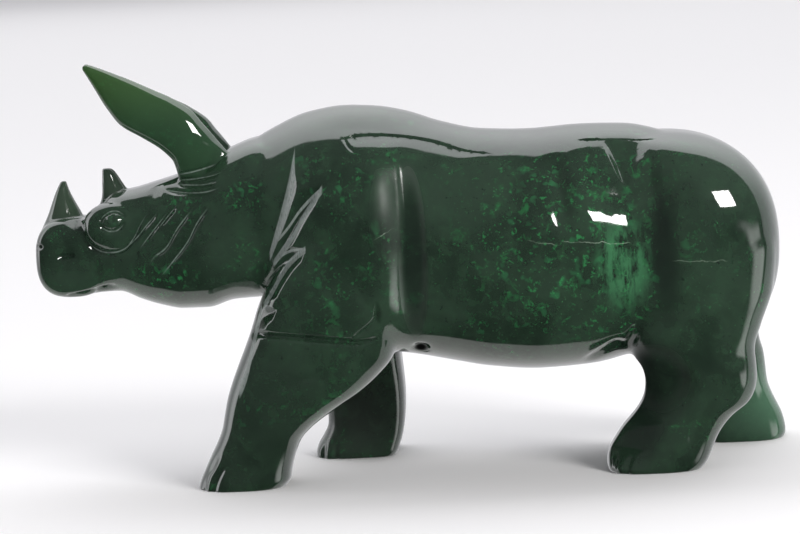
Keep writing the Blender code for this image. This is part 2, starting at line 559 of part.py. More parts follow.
def flat_soles(mesh):
    """Grinds the feet flat at one height and closes the four cuts."""
    bm = bmesh.new()
    bm.from_mesh(mesh)
    bmesh.ops.bisect_plane(bm, geom=bm.verts[:] + bm.edges[:] + bm.faces[:], dist=1e-4,
                           plane_co=(0, 0, SOLE_CUT), plane_no=(0, 0, 1), clear_inner=True)
    rim = [e for e in bm.edges if e.is_boundary]
    made = bmesh.ops.holes_fill(bm, edges=rim, sides=0)
    bmesh.ops.triangulate(bm, faces=made["faces"])
    bmesh.ops.recalc_face_normals(bm, faces=bm.faces[:])
    bm.to_mesh(mesh)
    bm.free()


def jade():
    material = bpy.data.materials.new("nephrite jade")
    material.use_nodes = True
    shader = material.node_tree.nodes["Principled BSDF"]
    shader.inputs["Base Color"].default_value = (0.018, 0.055, 0.028, 1.0)
    shader.inputs["Roughness"].default_value = 0.12
    shader.inputs["Metallic"].default_value = 0.0
    return material


def rhinoceros():
    obj = bpy.data.objects.new("rhinoceros", rough_out())
    bpy.context.scene.collection.objects.link(obj)
    fuse = obj.modifiers.new("fuse", "REMESH")
    fuse.mode = "VOXEL"
    fuse.voxel_size = VOXEL
    swap_mesh(obj, evaluated(obj))
    blend(obj)
    swap_mesh(obj, evaluated(obj))
    carve(obj.data)
    thin = obj.modifiers.new("fewer faces", "DECIMATE")
    thin.ratio = TRIANGLES / (2 * len(obj.data.polygons))
    thin.use_collapse_triangulate = True
    swap_mesh(obj, evaluated(obj))
    flat_soles(obj.data)
    points = points_of(obj.data)
    low, high = points.min(0), points.max(0)
    points -= [(low[0] + high[0]) / 2, (low[1] + high[1]) / 2, low[2]]
    put_points(obj.data, points * (LENGTH / STATION_LENGTH))
    obj.data.shade_smooth()
    obj.data.materials.append(jade())
    return obj


for old in list(bpy.data.objects):
    bpy.data.objects.remove(old, do_unlink=True)
rhinoceros()
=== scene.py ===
"""Looks for a rhinoceros figurine carved from one piece of dark green nephrite jade.

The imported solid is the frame. It is replaced by one finely carved skin of the same form, built the
same way: masses fused into one body, softened at the joins, then cut with every line of the carving.
Shape stations are in millimetres in the carving's own side view: x runs from the nose back to the
rump and z up from the soles.
"""

import math

import bmesh
import bpy
import numpy as np
from mathutils import Matrix, Vector


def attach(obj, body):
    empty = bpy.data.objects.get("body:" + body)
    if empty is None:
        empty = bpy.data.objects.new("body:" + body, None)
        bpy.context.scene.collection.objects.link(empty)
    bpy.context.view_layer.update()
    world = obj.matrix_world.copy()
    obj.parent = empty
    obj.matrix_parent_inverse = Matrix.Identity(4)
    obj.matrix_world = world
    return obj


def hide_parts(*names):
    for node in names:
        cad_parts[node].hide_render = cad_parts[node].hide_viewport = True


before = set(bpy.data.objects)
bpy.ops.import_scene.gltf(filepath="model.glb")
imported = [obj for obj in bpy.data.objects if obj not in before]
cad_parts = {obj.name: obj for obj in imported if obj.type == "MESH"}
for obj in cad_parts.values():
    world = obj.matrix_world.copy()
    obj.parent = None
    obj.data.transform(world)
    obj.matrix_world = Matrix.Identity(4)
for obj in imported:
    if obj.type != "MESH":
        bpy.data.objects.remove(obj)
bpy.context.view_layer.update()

MM = 0.001

# Fineness of the skin: its grid in mm, points round each ring, rings along each mass
VOXEL = 0.25
RING = 224
BODY_RINGS = 200
HEAD_RINGS = 160
UPRIGHT_RINGS = 150
EAR_RINGS = 120
LUMP_RINGS = 120
TRIANGLES = 194000  # what the finished skin is thinned to
SOLE_CUT = 0.25  # how much is ground off the soles, in mm
SOFTENING = 1.06  # how far the joins between the masses are blended, in mm
SOFT_BACKWARDS = ((-24, -17), (0.25, 1))  # its share of that from the neck fold backwards
SOFT_UPWARDS = ((1, 9), (0.15, 1))  # and from the soles upwards
SOFT_CRISP = 0.06  # and on the ears and horns
SOFT_LEVELS = 20
EAR_REGION = (-24, 49.5)  # in front of this x, above this z
HORN_REGION = (-42, 44, 4.5)  # the same, and this close to the middle

# Along the body: x, underside, back, half width.
TORSO = [
    (-24, 32, 55.6, 12), (-20, 29, 57.8, 16.5), (-14, 25, 60.2, 19), (-8, 21.9, 61, 20.4),
    (-3, 20.4, 60.7, 20.8), (2, 19.6, 59.7, 20.2), (8, 18.3, 57.6, 19.9), (14.5, 17, 56.1, 20.3),
    (22.5, 16.3, 55.7, 21), (31, 16.7, 56.1, 20.9), (38, 18.2, 55.9, 20.2), (44, 19.9, 54.6, 20.2),
    (52, 22, 50, 18),
]
# Half width in front of the shoulder, along the slanted neck fold.
SHOULDER_FRONT = [(-32, 9.5), (-27, 11.8), (-23, 13.9), (-18.5, 16.5), (-14, 18.6),
                  (-8.5, 20.3), (-3, 20.8)]
FOLD_SLANT = 0.19  # how far the neck fold runs forward for each millimetre down
FOLD_MIDDLE = 43.0  # the height where the slant changes nothing
FOLD_GROWTH = 8.0  # the slant grows to its full amount over this length in front of x = 0
HEAD = [
    (-59, 32.8, 43, 4.9), (-56, 31.6, 44.2, 6), (-53, 31.3, 43.6, 5.8), (-50, 31.7, 45.2, 6.8),
    (-46.8, 31.8, 48.2, 8.2), (-43, 30.3, 49, 9.3), (-40, 29.3, 49.8, 10.2), (-36, 28.5, 50.9, 11.4),
    (-32, 28.5, 52.5, 12.4), (-27.5, 29.7, 54.8, 13.4), (-22, 30, 56.4, 14), (-16, 31, 56, 13),
]
# Up each leg: z, front, rear, middle across, half width.
LEGS = {
    "near_fore": [
        (0, -34.3, -19.9, -12.6, 6.6), (1.3, -33.9, -19, -12.6, 6.7), (2.6, -33.3, -18.8, -12.6, 6.6),
        (5.9, -31.7, -17.8, -12.6, 6.4), (7.6, -30.8, -17, -12.6, 6.4), (9.8, -29.9, -14.8, -12.5, 6.6),
        (12.6, -29.3, -10.6, -12.3, 7), (14.7, -28.8, -7.2, -12.1, 7.4), (17.6, -27.8, -3.8, -11.8, 8),
        (20.5, -26.6, -1.4, -11.5, 8.5), (25, -24.7, -0.2, -11, 9.3), (30, -22.9, 0.1, -10.5, 9.9),
        (38, -18.6, -0.8, -9.8, 10), (46, -15, -4, -8, 8.5),
    ],
    "far_fore": [
        (0, -16.2, -2.4, 12.6, 6.6), (1.1, -16.1, -1.8, 12.6, 6.7), (2.1, -15.7, -1.5, 12.6, 6.6),
        (3.3, -14.9, -1.1, 12.6, 6.5), (6, -13.8, -0.6, 12.6, 6.4), (8, -13.8, -0.4, 12.5, 6.5),
        (10.6, -14.4, -0.3, 12.4, 6.7), (13.2, -15.4, -0.4, 12.2, 7), (16, -16.8, -0.6, 12, 7.5),
        (20.5, -18.6, -0.8, 11.5, 8.3), (25, -20, -0.6, 11, 9.1), (30, -20.4, -0.3, 10.5, 9.8),
        (38, -18.6, -0.8, 9.8, 10), (46, -15, -4, 8, 8.5),
    ],
    "near_hind": [
        (0, 33.1, 48, -12.4, 6.6), (1, 32.8, 48.9, -12.4, 6.7), (2.5, 32.9, 49.7, -12.4, 6.6),
        (4, 33.5, 50.3, -12.4, 6.5), (5.6, 34.5, 51.1, -12.4, 6.4), (7.4, 35.8, 52.4, -12.4, 6.4),
        (8.8, 37.1, 53.8, -12.4, 6.5), (10.6, 38.5, 56.2, -12.3, 6.8), (12.5, 39.4, 57.2, -12.2, 7.1),
        (14.5, 39.6, 57.6, -12, 7.5), (16.6, 39.1, 57.6, -11.7, 7.9), (19, 37.6, 57.4, -11.4, 8.3),
        (23, 36.8, 58.6, -11, 8.8), (29, 38, 60.8, -10.3, 9.4), (36, 40.5, 61.6, -9.4, 9.6),
        (44, 45, 55, -8, 7.5),
    ],
    "far_hind": [
        (0, 49.8, 64.3, 12.4, 6.6), (1.2, 49.4, 64.8, 12.4, 6.7), (2.8, 49.4, 64.6, 12.4, 6.6),
        (4.6, 49.3, 64.1, 12.4, 6.5), (6.3, 49, 63.3, 12.4, 6.4), (8.1, 48.2, 62.5, 12.4, 6.5),
        (9.9, 47, 61.9, 12.3, 6.7), (12, 45.4, 61.7, 12.2, 7.1), (15, 43, 61.4, 11.9, 7.6),
        (18, 41.2, 60.6, 11.5, 8.1), (23, 39.2, 60.4, 11, 8.8), (29, 39, 61.2, 10.3, 9.4),
        (36, 40.5, 61.6, 9.4, 9.6), (44, 45, 55, 8, 7.5),
    ],
}
# Up each horn: z, front, rear, middle across, half width.
HORNS = {
    "nose": [
        (38, -60, -51.5, 0, 4.6), (41, -60.2, -51.4, 0, 4.2), (43.1, -59.3, -51.9, 0, 3.5),
        (44.9, -58.4, -52.6, 0, 2.9), (46.9, -57.6, -53.6, 0, 2.2), (48.6, -56.9, -54.4, 0, 1.5),
        (49.8, -56.3, -54.8, 0, 1), (50.5, -55.9, -55, 0, 0.65),
    ],
    "brow": [
        (42, -50.2, -41.6, 0, 3), (46, -49.7, -42.6, 0, 2.5), (47.4, -49.2, -43.7, 0, 2.2),
        (48.4, -49.05, -44.6, 0, 1.9), (49.6, -49, -45.4, 0, 1.6), (50.8, -48.95, -46.1, 0, 1.3),
        (51.6, -48.9, -46.6, 0, 1.15), (52.3, -48.85, -47.3, 0, 1),
    ],
}
# Along an ear from its root: distance, lower edge, upper edge, half thickness.
EAR = [
    (-4, -6.6, 3, 1), (0.5, -5.8, 3.9, 2.1), (2.8, -4.2, 4.3, 2.7), (4.4, -3.3, 4.6, 2.8),
    (6.9, -3.1, 5.1, 2.6), (10.6, -3.5, 4.75, 2.35), (14.2, -4, 3.9, 2.05), (17.7, -3.2, 3, 1.7),
    (21, -1.95, 2, 1.25), (23.6, -0.95, 1.15, 0.95), (25, -0.45, 0.6, 0.7),
]
EAR_ROOT = (-30.8, 53.45)
EAR_ALONG = (-0.759, 0.651)
EAR_OUT = 7.4  # middle of the root from the centre line
EAR_SPLAY = 0.07
EAR_RIM = 1.2  # how much the bevel along the upper outer edge takes off
EAR_RIM_FULL = 2.2  # the half thickness from which it takes off that much
EAR_BEVEL = (0.88, 0.47)  # the way the bevel faces: up, out
FAR_EAR_SHIFT = (0.9, -2.1)  # the far ear sits a little further back and lower

# How square each ring is, where 2 is round: first its upper or rear half, then the other.
BODY_SQUARE = (2.15, 3)
HEAD_SQUARE = (3.2, 2.7)
EAR_SQUARE = (2, 2)
LEG_SQUARE = {
    "near_fore": (2.6, 2.6), "far_fore": (4.5, 3.6), "near_hind": (2.6, 3.2), "far_hind": (2.6, 3.6),
}
HORN_SQUARE = {"nose": (1.5, 2.1), "brow": (1.5, 2.6)}
# Lumps: middle, radii, how square the outline is from the side, how flat the sides are.
LUMP_TILT = 1.56  # how near the poles the last rings lie, in radians
LUMPS = {
    "hips": ((44, 0, 35.9), (18.8, 20.2, 18.5), 2.3, 3.2),
    "muzzle": ((-54.3, 0, 37.9), (6, 7, 6.6), 2.7, 5),
    "near brow": ((-46.2, -5.1, 42.9), (5.7, 4.1, 4.2), 2.2, 2.6),
    "far brow": ((-46.2, 5.1, 42.9), (5.7, 4.1, 4.2), 2.2, 2.6),
}

# Wedge cuts: name, points (x, z), depth, width of the wall on the right of the line, width on its
# left, share faded in, share faded out. The narrower wall is the steeper one.
WEDGES = [
    ("neck fold", [(-22.9, 31.5), (-22, 34.6), (-20.2, 39.2), (-18.4, 43.4), (-17.3, 47),
                   (-16.5, 50.2), (-15.8, 53.6)], 1.1, 1.5, 3.4, 0.2, 0.2),
    ("shoulder fold 1", [(-20.6, 36), (-19.1, 38.4), (-17.1, 41.2), (-15.6, 43.6), (-13.6, 46.5),
                         (-11.2, 49.3)], 1.2, 1.35, 2.4, 0.15, 0.2),
    ("shoulder fold 2", [(-21.4, 30.6), (-20.2, 33), (-18.9, 34.9), (-17.4, 36.7), (-15.9, 38),
                         (-13.9, 39.5)], 1.2, 1.35, 2.2, 0.15, 0.25),
    ("shoulder fold 3", [(-24.6, 24.2), (-23.3, 26.4), (-21.8, 28.2), (-19.2, 29.8)],
     1, 1.2, 2, 0.2, 0.3),
    ("ledge", [(-7.6, 56.3), (-3.4, 56.6), (1.5, 56.1), (6.8, 54.8), (11.6, 53.3), (17.4, 52.5)],
     0.65, 2.1, 0.55, 0.05, 0.45),
    ("ledge end", [(-7.8, 56.6), (-6.9, 54.9), (-5.3, 53.4)], 0.4, 0.35, 0.7, 0.1, 0.5),
    ("elbow", [(-23.8, 25.6), (-16, 25), (-9.4, 24.2), (-6.1, 23.9), (-2.8, 24.9)],
     0.85, 0.7, 0.9, 0.05, 0.2),
    ("elbow bend", [(-3.2, 31.5), (-3.9, 28.2), (-5.9, 25.8), (-8.6, 24.3)], 0.7, 0.6, 1.2, 0.3, 0.3),
]
# Round grooves: name, points (x, z), depth, half width, share faded in, share faded out.
GROOVES = [
    ("rib 1", [(9.3, 53.5), (8.5, 46.2), (8.2, 36.6), (8.9, 26.5)], 0.25, 2.4, 0.3, 0.4),
    ("rib 2", [(19.6, 53), (19.6, 46.8), (19.2, 40.2), (18.6, 30.1)], 0.6, 2, 0.3, 0.5),
    ("rib 3", [(26, 52.6), (26.4, 49), (26.9, 45.3), (27.1, 41.5), (27.1, 38.5)], 1.15, 1.45, 0.25, 0.45),
    ("rib 3 low", [(27.1, 42), (27.4, 36), (26.6, 26.3)], 0.35, 1.9, 0.4, 0.5),
    ("rib 4", [(29.8, 53), (30.4, 50.2), (31.2, 47.6), (31.8, 45.4)], 0.5, 1.5, 0.25, 0.5),
    ("rib 4 low", [(34.2, 37.5), (33.6, 33), (32.6, 27.7)], 0.35, 2, 0.4, 0.5),
    ("flank", [(28.6, 17.2), (32.8, 20.3), (34.8, 21.4), (36.6, 21.3), (38.4, 24.7), (39.2, 28)],
     0.5, 0.8, 0.2, 0.3),
    ("thigh", [(56, 43.7), (54.8, 38.1), (53.3, 33.4), (52.6, 27.7), (52.4, 23.2), (53, 17.2)],
     0.35, 1.8, 0.4, 0.3),
]
BROW = [(-51.7, 42.7), (-50.9, 40.7), (-49.4, 39.3), (-47.4, 38.9), (-45.1, 39.4), (-43.4, 41),
        (-41.9, 43.5), (-40.3, 45.8)]
# Fine engraved lines on both sides, in the same terms as the grooves.
FINE_LINES = [
    ("ear root 1", [(-35.6, 51.3), (-32, 51.9), (-28.7, 52.9)], 0.36, 0.36, 0.15, 0.3),
    ("ear root 2", [(-35.7, 50.4), (-32.1, 50.6), (-27.8, 51.7)], 0.36, 0.36, 0.15, 0.3),
    ("ear root 3", [(-35.8, 49.8), (-32, 49.6), (-29.8, 49.9), (-28.3, 50.6)], 0.36, 0.36, 0.15, 0.3),
    ("ear root 4", [(-38.5, 49.3), (-36, 48.6), (-32.1, 48.4), (-29.5, 48.8), (-28, 49.9)],
     0.42, 0.38, 0.3, 0.3),
    ("brow ring", [(-50.3, 44.9), *BROW], 0.55, 0.42, 0.4, 0.3),
    ("brow line", BROW, 0.05, 0.3, 0.15, 0.3),
    ("cheek 1", [(-38.8, 45.5), (-40.9, 43.3), (-42.9, 41.1), (-44.6, 39.7)], 0.36, 0.36, 0.2, 0.3),
    ("cheek 2", [(-35.5, 46.6), (-37.5, 44.4), (-38.9, 42.8)], 0.5, 0.38, 0.3, 0.3),
    ("cheek 3", [(-37.3, 45.3), (-41, 41), (-42.3, 39.4)], 0.36, 0.36, 0.2, 0.3),
    ("cheek 4", [(-32.9, 45.9), (-35.7, 42.7), (-37.8, 39.6), (-40.2, 37.7), (-40.9, 36.2)],
     0.42, 0.38, 0.2, 0.3),
    ("cheek 5", [(-30, 46.4), (-32.3, 43.6), (-34.1, 40.5), (-36.5, 37.6), (-38.9, 34.9)],
     0.42, 0.38, 0.2, 0.3),
    ("cheek 6", [(-29.5, 41.2), (-32.7, 38.9)], 0.15, 0.4, 0.3, 0.3),
    ("nostril", [(-56.6, 38.2), (-54.9, 38.6), (-53.2, 38.6)], 0.75, 0.5, 0.4, 0.15),
    ("nose notch", [(-61, 40.4), (-59.6, 40.3), (-58.4, 40.2)], 1, 0.32, 0, 0.4),
    ("mouth", [(-55.6, 31.4), (-53.6, 31.7), (-49.9, 32.4), (-46.3, 33.4)], 0.8, 0.45, 0.1, 0.3),
    ("lower lid", [(-48.6, 43.9), (-47.9, 42.9), (-46.6, 42.5), (-45.2, 43.1), (-44.6, 44.3)],
     0.4, 0.34, 0.1, 0.1),
    ("upper lid", [(-48.6, 43.9), (-47.7, 45.3), (-46.2, 45.8), (-44.9, 45.3), (-44.4, 44.5)],
     0.4, 0.34, 0.1, 0.1),
    ("eye mark 1", [(-47.3, 45.1), (-47.6, 44.3), (-47.3, 43.5)], 0.3, 0.3, 0.2, 0.2),
    ("eye mark 2", [(-46.2, 45.4), (-46.5, 44.6), (-46.2, 43.8)], 0.3, 0.3, 0.2, 0.2),
]
# Lines on the left side alone, then those on the right, in the same terms.
NEAR_LINES = [
    ("fore muscle", [(-8.9, 20.9), (-11.9, 18.9), (-16.3, 18.1), (-22.3, 15.7), (-26.5, 12)],
     0.2, 0.7, 0.4, 0.4),
    ("tendon", [(50.9, 13.8), (48.6, 10.3), (46.7, 6.5), (45.4, 2.1)], 0.4, 0.9, 0.3, 0.3),
    ("fore toe 1", [(-29.8, 7), (-31.6, 4.2), (-32.8, 2.6), (-33.4, -0.3)], 0.4, 0.5, 0.5, 0),
    ("fore toe 2", [(-28.3, 6), (-30.6, 2.6), (-31.6, -0.3)], 0.4, 0.5, 0.5, 0),
    ("hind toe 1", [(37.6, 4.3), (35.9, 1.9), (35.5, -0.3)], 0.35, 0.5, 0.5, 0),
    ("hind toe 2", [(34.8, 4), (33.6, 1.8), (33.2, -0.3)], 0.3, 0.5, 0.5, 0),
]
FAR_LINES = [
    ("fore toe 1", [(-12, 4.5), (-12.6, 1.9), (-12.6, -0.3)], 0.4, 0.5, 0.5, 0),
    ("fore toe 2", [(-14.2, 3.4), (-14.8, 1.6), (-14.9, -0.3)], 0.4, 0.5, 0.5, 0),
    ("hind toe 1", [(52.4, 4.3), (51.9, 1.9), (51.7, -0.3)], 0.35, 0.5, 0.5, 0),
    ("hind toe 2", [(50.3, 3.6), (50, 1.8), (49.9, -0.3)], 0.3, 0.5, 0.5, 0),
]
GROOVE_REACH = 3  # a groove has died away this many half widths from its line
FACING = (0.12, 0.4)  # a normal's sideways share where the cuts begin, and how much on they are full
MIDDLE_STRIP = 1.5  # half width of the uncut strip along the figure's middle
SHOULDER_REAR = [(0.5, 23.5), (0.2, 28.9), (0.2, 34.7), (0.6, 41.7), (0.6, 48.5), (0, 55.5)]
HIP_FRONT = [(38, 21), (38.9, 26.1), (39.6, 31.9), (40.2, 39.9), (41.4, 46.3), (43.4, 53.4)]
# The shoulder plate's edge: how far it rounds off and over what length, depth and width of the wall
# behind that, and how softly the ribs come up again.
SHOULDER_STEP = (0.75, 3, 0.75, 1.3, 6.5)
SHOULDER_ROLL = (0.3, 4, 2.5)  # the roll in front of the edge: height, how far in front, width
# The valley before the hip: depth, then the lengths of the ramp down, of its floor and of the rise.
HIP_VALLEY = (2.9, 9.2, 0.8, 3.3)
# The shares of their height over which these fade in and out
STEP_FADE = (0.2, 0.25)
ROLL_FADE = (0.2, 0.2)
VALLEY_FADE = (0.85, 0.25)
HOLLOW = ((32.9, 54), (43.6, 53.8), (37.9, 43.2))  # corners (x, z): front, hind and foot
HOLLOW_FOOT_OUT = 16.8  # how far out the flat cut starts at its foot
HOLLOW_LEAN = 0.66  # how far it leans in for each millimetre up
HOLLOW_WALLS = (0.6, 0.14, 5)  # width of the front wall at the foot, its growth upwards, hind wall
HOLLOW_BLEND = 0.5
HOLLOW_SILL = 1.0  # it fades in from this far below its foot to this far above it
FLAT_REACH = 2.0  # a flat cut's rounded start leaves the surface alone beyond this
# Facets sloping up to the top of the muzzle and of the brow: how far out, how far in for each
# millimetre up, least distance from the middle, and the facet's lower edge as points (x, z).
FACETS = [
    (7, 1.5, 2.5, [(-61, 41.8), (-58.5, 42.8), (-56.3, 43.4), (-53, 42.4), (-51.2, 42.2)]),
    (8.9, 1.45, 3.2, [(-52.2, 43), (-50.8, 44.1), (-49.6, 45.4), (-47.9, 46.4), (-46.2, 46.9),
                      (-42, 46.9), (-38, 47.6)]),
]
FACET_DEPTH = 2.5  # the most that a facet takes off
FACET_HEIGHTS = (40, 52)  # the facets lie between these
FACET_ENDS = (0.8, 1.5)  # and fade over these lengths at their front and rear
# Under the hollow the side bends inwards above a sagging line: its lowest point (x, z), half its
# length, how far it rises to its ends, how fast it bends, and how far up.
BEND = ((36.5, 40.6), 5.5, 1.6, 0.045, 4.5)
BEND_ENDS = (0.85, 1.25)  # it fades out between these shares of its half length
BEND_TOP = (50, 58)  # and between these heights
BEND_OUT = 10  # and it leaves alone what lies closer to the middle than this
HIND_FACET = (13.2, 0.82)  # how far out the facet down the hind leg's front starts, and its slope
HIND_FACET_DEPTH = (0.6, 5)  # how softly it starts, and the most that it takes off
HIND_FACET_REGION = (10, 52)  # further out than this, and in front of this x
HIND_FACET_START = 1.0  # it fades in over this length before the leg's front edge
HIND_FACET_FOOT = (1, 3)  # the height where it begins, and the length over which it fades in
HIND_FACET_TOP = (12, 23)  # it fades out between these heights
SPOT = (3.1, -13.3, 21.6)  # the dark pit on the belly
# Soft swellings: middle (x, z), radii, height, whether only the near side has it.
SWELLINGS = [
    ((-9.5, 42), (7.5, 12), 0.5, False), ((50, 38), (8, 11), 0.5, False),
    ((-33, 36), (7, 6), 0.5, False), ((-3.6, 28), (3.2, 4.2), 0.9, True),
    ((54, 14.8), (2.5, 2.9), 0.5, True), ((0, 58.6), (13, 2.6), -0.55, False),
    ((SPOT[0], SPOT[2]), (1.1, 0.8), -1, True),
]
# Engraved lines made pale along their middles, and half the width of the pale.
PALE_LINES = {
    "ear root 1": 0.16, "ear root 2": 0.12, "ear root 3": 0.12, "ear root 4": 0.14, "cheek 1": 0.12,
    "cheek 2": 0.09, "cheek 3": 0.10, "cheek 4": 0.14, "cheek 5": 0.15, "brow line": 0.14,
    "lower lid": 0.16, "upper lid": 0.13,
}
# Faces of the shoulder's folds left matt and painted pale, a painted reflection: points (x, z), half width
# at their front and rear.
PAINTED_REFLECTION_FACES = [
    ([(-20.8, 37.4), (-19.6, 40.4), (-18, 44.4), (-16.7, 48.4), (-15.6, 52.8)], 0.25, 1),
    ([(-19.3, 40.3), (-17.2, 42.6), (-15.2, 45.2), (-13.2, 47.2), (-11.2, 48.9)], 0.22, 0.30),
    ([(-20.2, 36.4), (-18.2, 39), (-16.3, 41.4), (-14.9, 43.8), (-13.2, 46.2), (-11.2, 48.9)],
     0.40, 0.45),
    ([(-20.2, 36.4), (-18.6, 38), (-16.6, 38.9), (-14.4, 39.2)], 0.25, 0.25),
    ([(-22, 29.8), (-20.9, 31.4), (-19.9, 33), (-18.6, 35.1), (-17, 37.1), (-14.4, 39.2)],
     0.45, 0.40),
    ([(-26.6, 16.4), (-25.4, 18.7), (-24.2, 22.6), (-23.3, 26), (-22.2, 29.8)], 0.45, 0.40),
]
OFFSET = (2.2, 0.25)  # from the side view's origin (x, z) to the figure's own
EYE = (-46.55, 44.15, 1.55, 1.15)  # middle (x, z) and half sizes of the eyeball
EYE_BULGE = (0.45, 0.7)  # its height, and how steeply it rises from its rim

# From here on the places are the figure's own (x, y, z) in mm.
# Noises: scale, detail, roughness and maybe distortion, the span they come in over, maybe their range.
BASE = ((0.07, 3, 0.5), (0.36, 0.64))
BASE_TONES = ((0.012, 0.026, 0.016), (0.025, 0.049, 0.031))
PATCHES = ((0.11, 2, 0.5), (0.5, 0.62))
PATCH_STRENGTH = 0.5
SPECKS = ((2.6, 3, 0.6), (0.67, 0.73))
SPECK_TONE = (0.05, 0.24, 0.085)
SPECK_SHARE = (0.85, 0.5)  # how many more lively stone has, and how many any stone has
STREAKS = ((0.8, 4, 0.6), (0.4, 0.62))
STREAK_STRETCH = (1, 1, 0.35)
PALE_LINE_NOISE = ((1.6, 2, 0.5), (0.3, 0.6), 0.35, 1)
PALE_LINE_TONE = (0.19, 0.24, 0.21)
REFLECTION_STREAKS = ((1.4, 3, 0.6), (0.3, 0.65), 0.7, 1)
REFLECTION_STREAK_STRETCH = (3, 1, 0.8)
PAINTED_REFLECTION_TONE = (0.24, 0.28, 0.26)
POLISH = ((0.22, 3, 0.6), (0.45, 0.7), 0.05, 0.11)
WAVES = (0.55, 2, 0.5)
# Clouds lie everywhere and flecks where the stone is lively: noise, strength, colour.
CLOUDS = [
    ((0.42, 5, 0.62, 0.4), (0.42, 0.72), 0.45, (0.03, 0.07, 0.038)),
    ((0.9, 4, 0.6), (0.62, 0.74), 0.6, (0.007, 0.014, 0.011)),
]
FLECKS = [
    ((0.45, 5, 0.7, 0.5), (0.56, 0.7), 0.85, (0.024, 0.165, 0.052)),
    ((0.5, 1.5, 0.5, 0.2), (0.6, 0.74), 0.6, (0.03, 0.17, 0.065)),
    ((0.95, 4, 0.65, 0.4), (0.58, 0.68), 0.85, (0.032, 0.23, 0.072)),
]
# Zones: middle, radii and maybe a strength.
LIVELY = [
    ((24, -19, 40), (21, 14, 22)), ((36.5, -19, 33), (6, 8, 9)), ((29, -17, 49.5), (7, 9, 6)),
    ((32, -19, 24), (7, 8, 6)), ((-9, -18, 49), (4.5, 8, 5)), ((-26.5, -13, 47.5), (5, 8, 4)),
    ((38, -14, 50), (5, 9, 4)), ((-37, -9, 45.5), (5, 8, 4)), ((-40, -8, 35), (8, 8, 4)),
]
# Painted shade before the hip, behind the shoulder, and on the near hind and fore legs, where these
# recesses and creases lie in shade
PAINTED_SHADE = [
    ((40.8, -18, 35), (3.4, 7, 13)), ((0.6, -19, 38), (2.8, 5, 18)),
    ((36, -16, 13), (6.5, 8, 15)), ((-22, -19, 12), (9, 8, 14), 0.5),
]
PAINTED_SHADE_TONE = (0.7, (0.009, 0.016, 0.012))
# Painted glow under the hollow: brighter streaky green standing in for light showing through the stone;
# middle, radii, strength, colour
UNDER_HOLLOW_GLOW = ((34, -18.5, 34.5), (6, 7, 9.5), 0.85, (0.05, 0.19, 0.085))
# The far fore leg: a duller polish, and a painted grey standing in for the shaded reflections under the
# body
FAR_FORE_LEG = ((-11, 13, 8), (13, 11, 19))  # dull and grey
# The ears greener, this leg a painted grey, the far hind foot a painted paler green for the side light's
# sheen on it, and the horns a painted paler grey-green for the pale reflections on them: middle, radii,
# strength, colour.
TINTS_AND_PAINTED_LIGHT = [
    ((-38, -10, 60), (17, 9, 15), 0.65, (0.03, 0.078, 0.036)),
    (*FAR_FORE_LEG, 0.7, (0.036, 0.044, 0.038)),
    ((57, 12, 6), (11, 10, 13), 0.85, (0.085, 0.185, 0.115)),
    ((-58.7, -1, 46.8), (6, 6, 6.5), 0.7, (0.05, 0.078, 0.052)),
    ((-48.7, -1, 49.8), (5, 5, 4.5), 0.7, (0.05, 0.078, 0.052)),
]
# Painted glow at the ear tips: a lighter green standing in for light through the thin stone
EAR_TIP_GLOW = ((57, 69), 0.85, (0.04, 0.098, 0.028))  # between these heights: strength, colour
SPOT_RADII = (1.5, 5, 1.1)
# The pit is painted near black: painted shade in it
PIT_PAINTED_SHADE = (0.001, 0.001, 0.001)
SIDES = (6, 9)  # how far out the matt faces with their painted reflection begin, and are full
# Cracks on the near side: front and rear end (x, z), strength.
CRACKS = [
    ((18.5, 39), (24, 37.9), 0.5), ((24, 38.6), (35.4, 37.5), 0.8),
    ((41.4, 34.6), (50.7, 34.2), 0.35), ((-5.8, 40.1), (-2.2, 41.9), 0.7),
]
CRACK_TONE = (0.3, 0.38, 0.3)
CRACK_GAPS = ((0.8, 2, 0.6), (0.4, 0.62), 0.25, 1)
CRACK_WOBBLE = (0.5, 3, 0.6)
CRACK_SWING = 1.2
CRACK_WIDTH = (0.1, 0.02)
CRACK_ENDS = (0.2, 1.2)
NEAR_SIDE = (-13, -15)
# The polish: where it is softer, and the zones without any.
SOFTER = ((-3, -19, 43.5), (5.5, 7, 13))
UNPOLISHED = [((39, -16, 15.5), (7.5, 9, 8)), ((0.3, -19, 38), (3.2, 7, 21))]
DULL_ROUGHNESS = 0.28
SOFTER_ROUGHNESS = 0.36
MATT_ROUGHNESS = 0.9
COAT = 0.6
SPECULAR = (0.5, 0.08)  # on polished and on matt stone
SOFTER_SPECULAR = 0.6  # how far the softer zone goes towards matt


def table(rows, samples=600):
    """The rows' columns as smooth curves that never overshoot their stations."""
    a = np.array(rows, float)
    s = a[:, 0]
    step = np.diff(s)
    fine = np.linspace(s[0], s[-1], samples)
    i = np.clip(np.searchsorted(s, fine, side="right") - 1, 0, len(step) - 1)
    u = (fine - s[i]) / step[i]
    columns = [fine]
    for v in a.T[1:]:
        slope = np.diff(v) / step
        tangent = np.zeros(len(s))
        same = slope[1:] * slope[:-1] > 0
        before = (2 * step[1:] + step[:-1])[same]
        after = (step[1:] + 2 * step[:-1])[same]
        inner = np.zeros(len(s) - 2)
        inner[same] = (before + after) / (before / slope[:-1][same] + after / slope[1:][same])
        tangent[1:-1] = inner
        tangent[0], tangent[-1] = slope[0], slope[-1]
        columns.append(
            (2 * u**3 - 3 * u**2 + 1) * v[i] + (u**3 - 2 * u**2 + u) * step[i] * tangent[i]
            + (-2 * u**3 + 3 * u**2) * v[i + 1] + (u**3 - u**2) * step[i] * tangent[i + 1]
        )
    return columns


def read(columns, s):
    return [np.interp(s, columns[0], c) for c in columns[1:]]


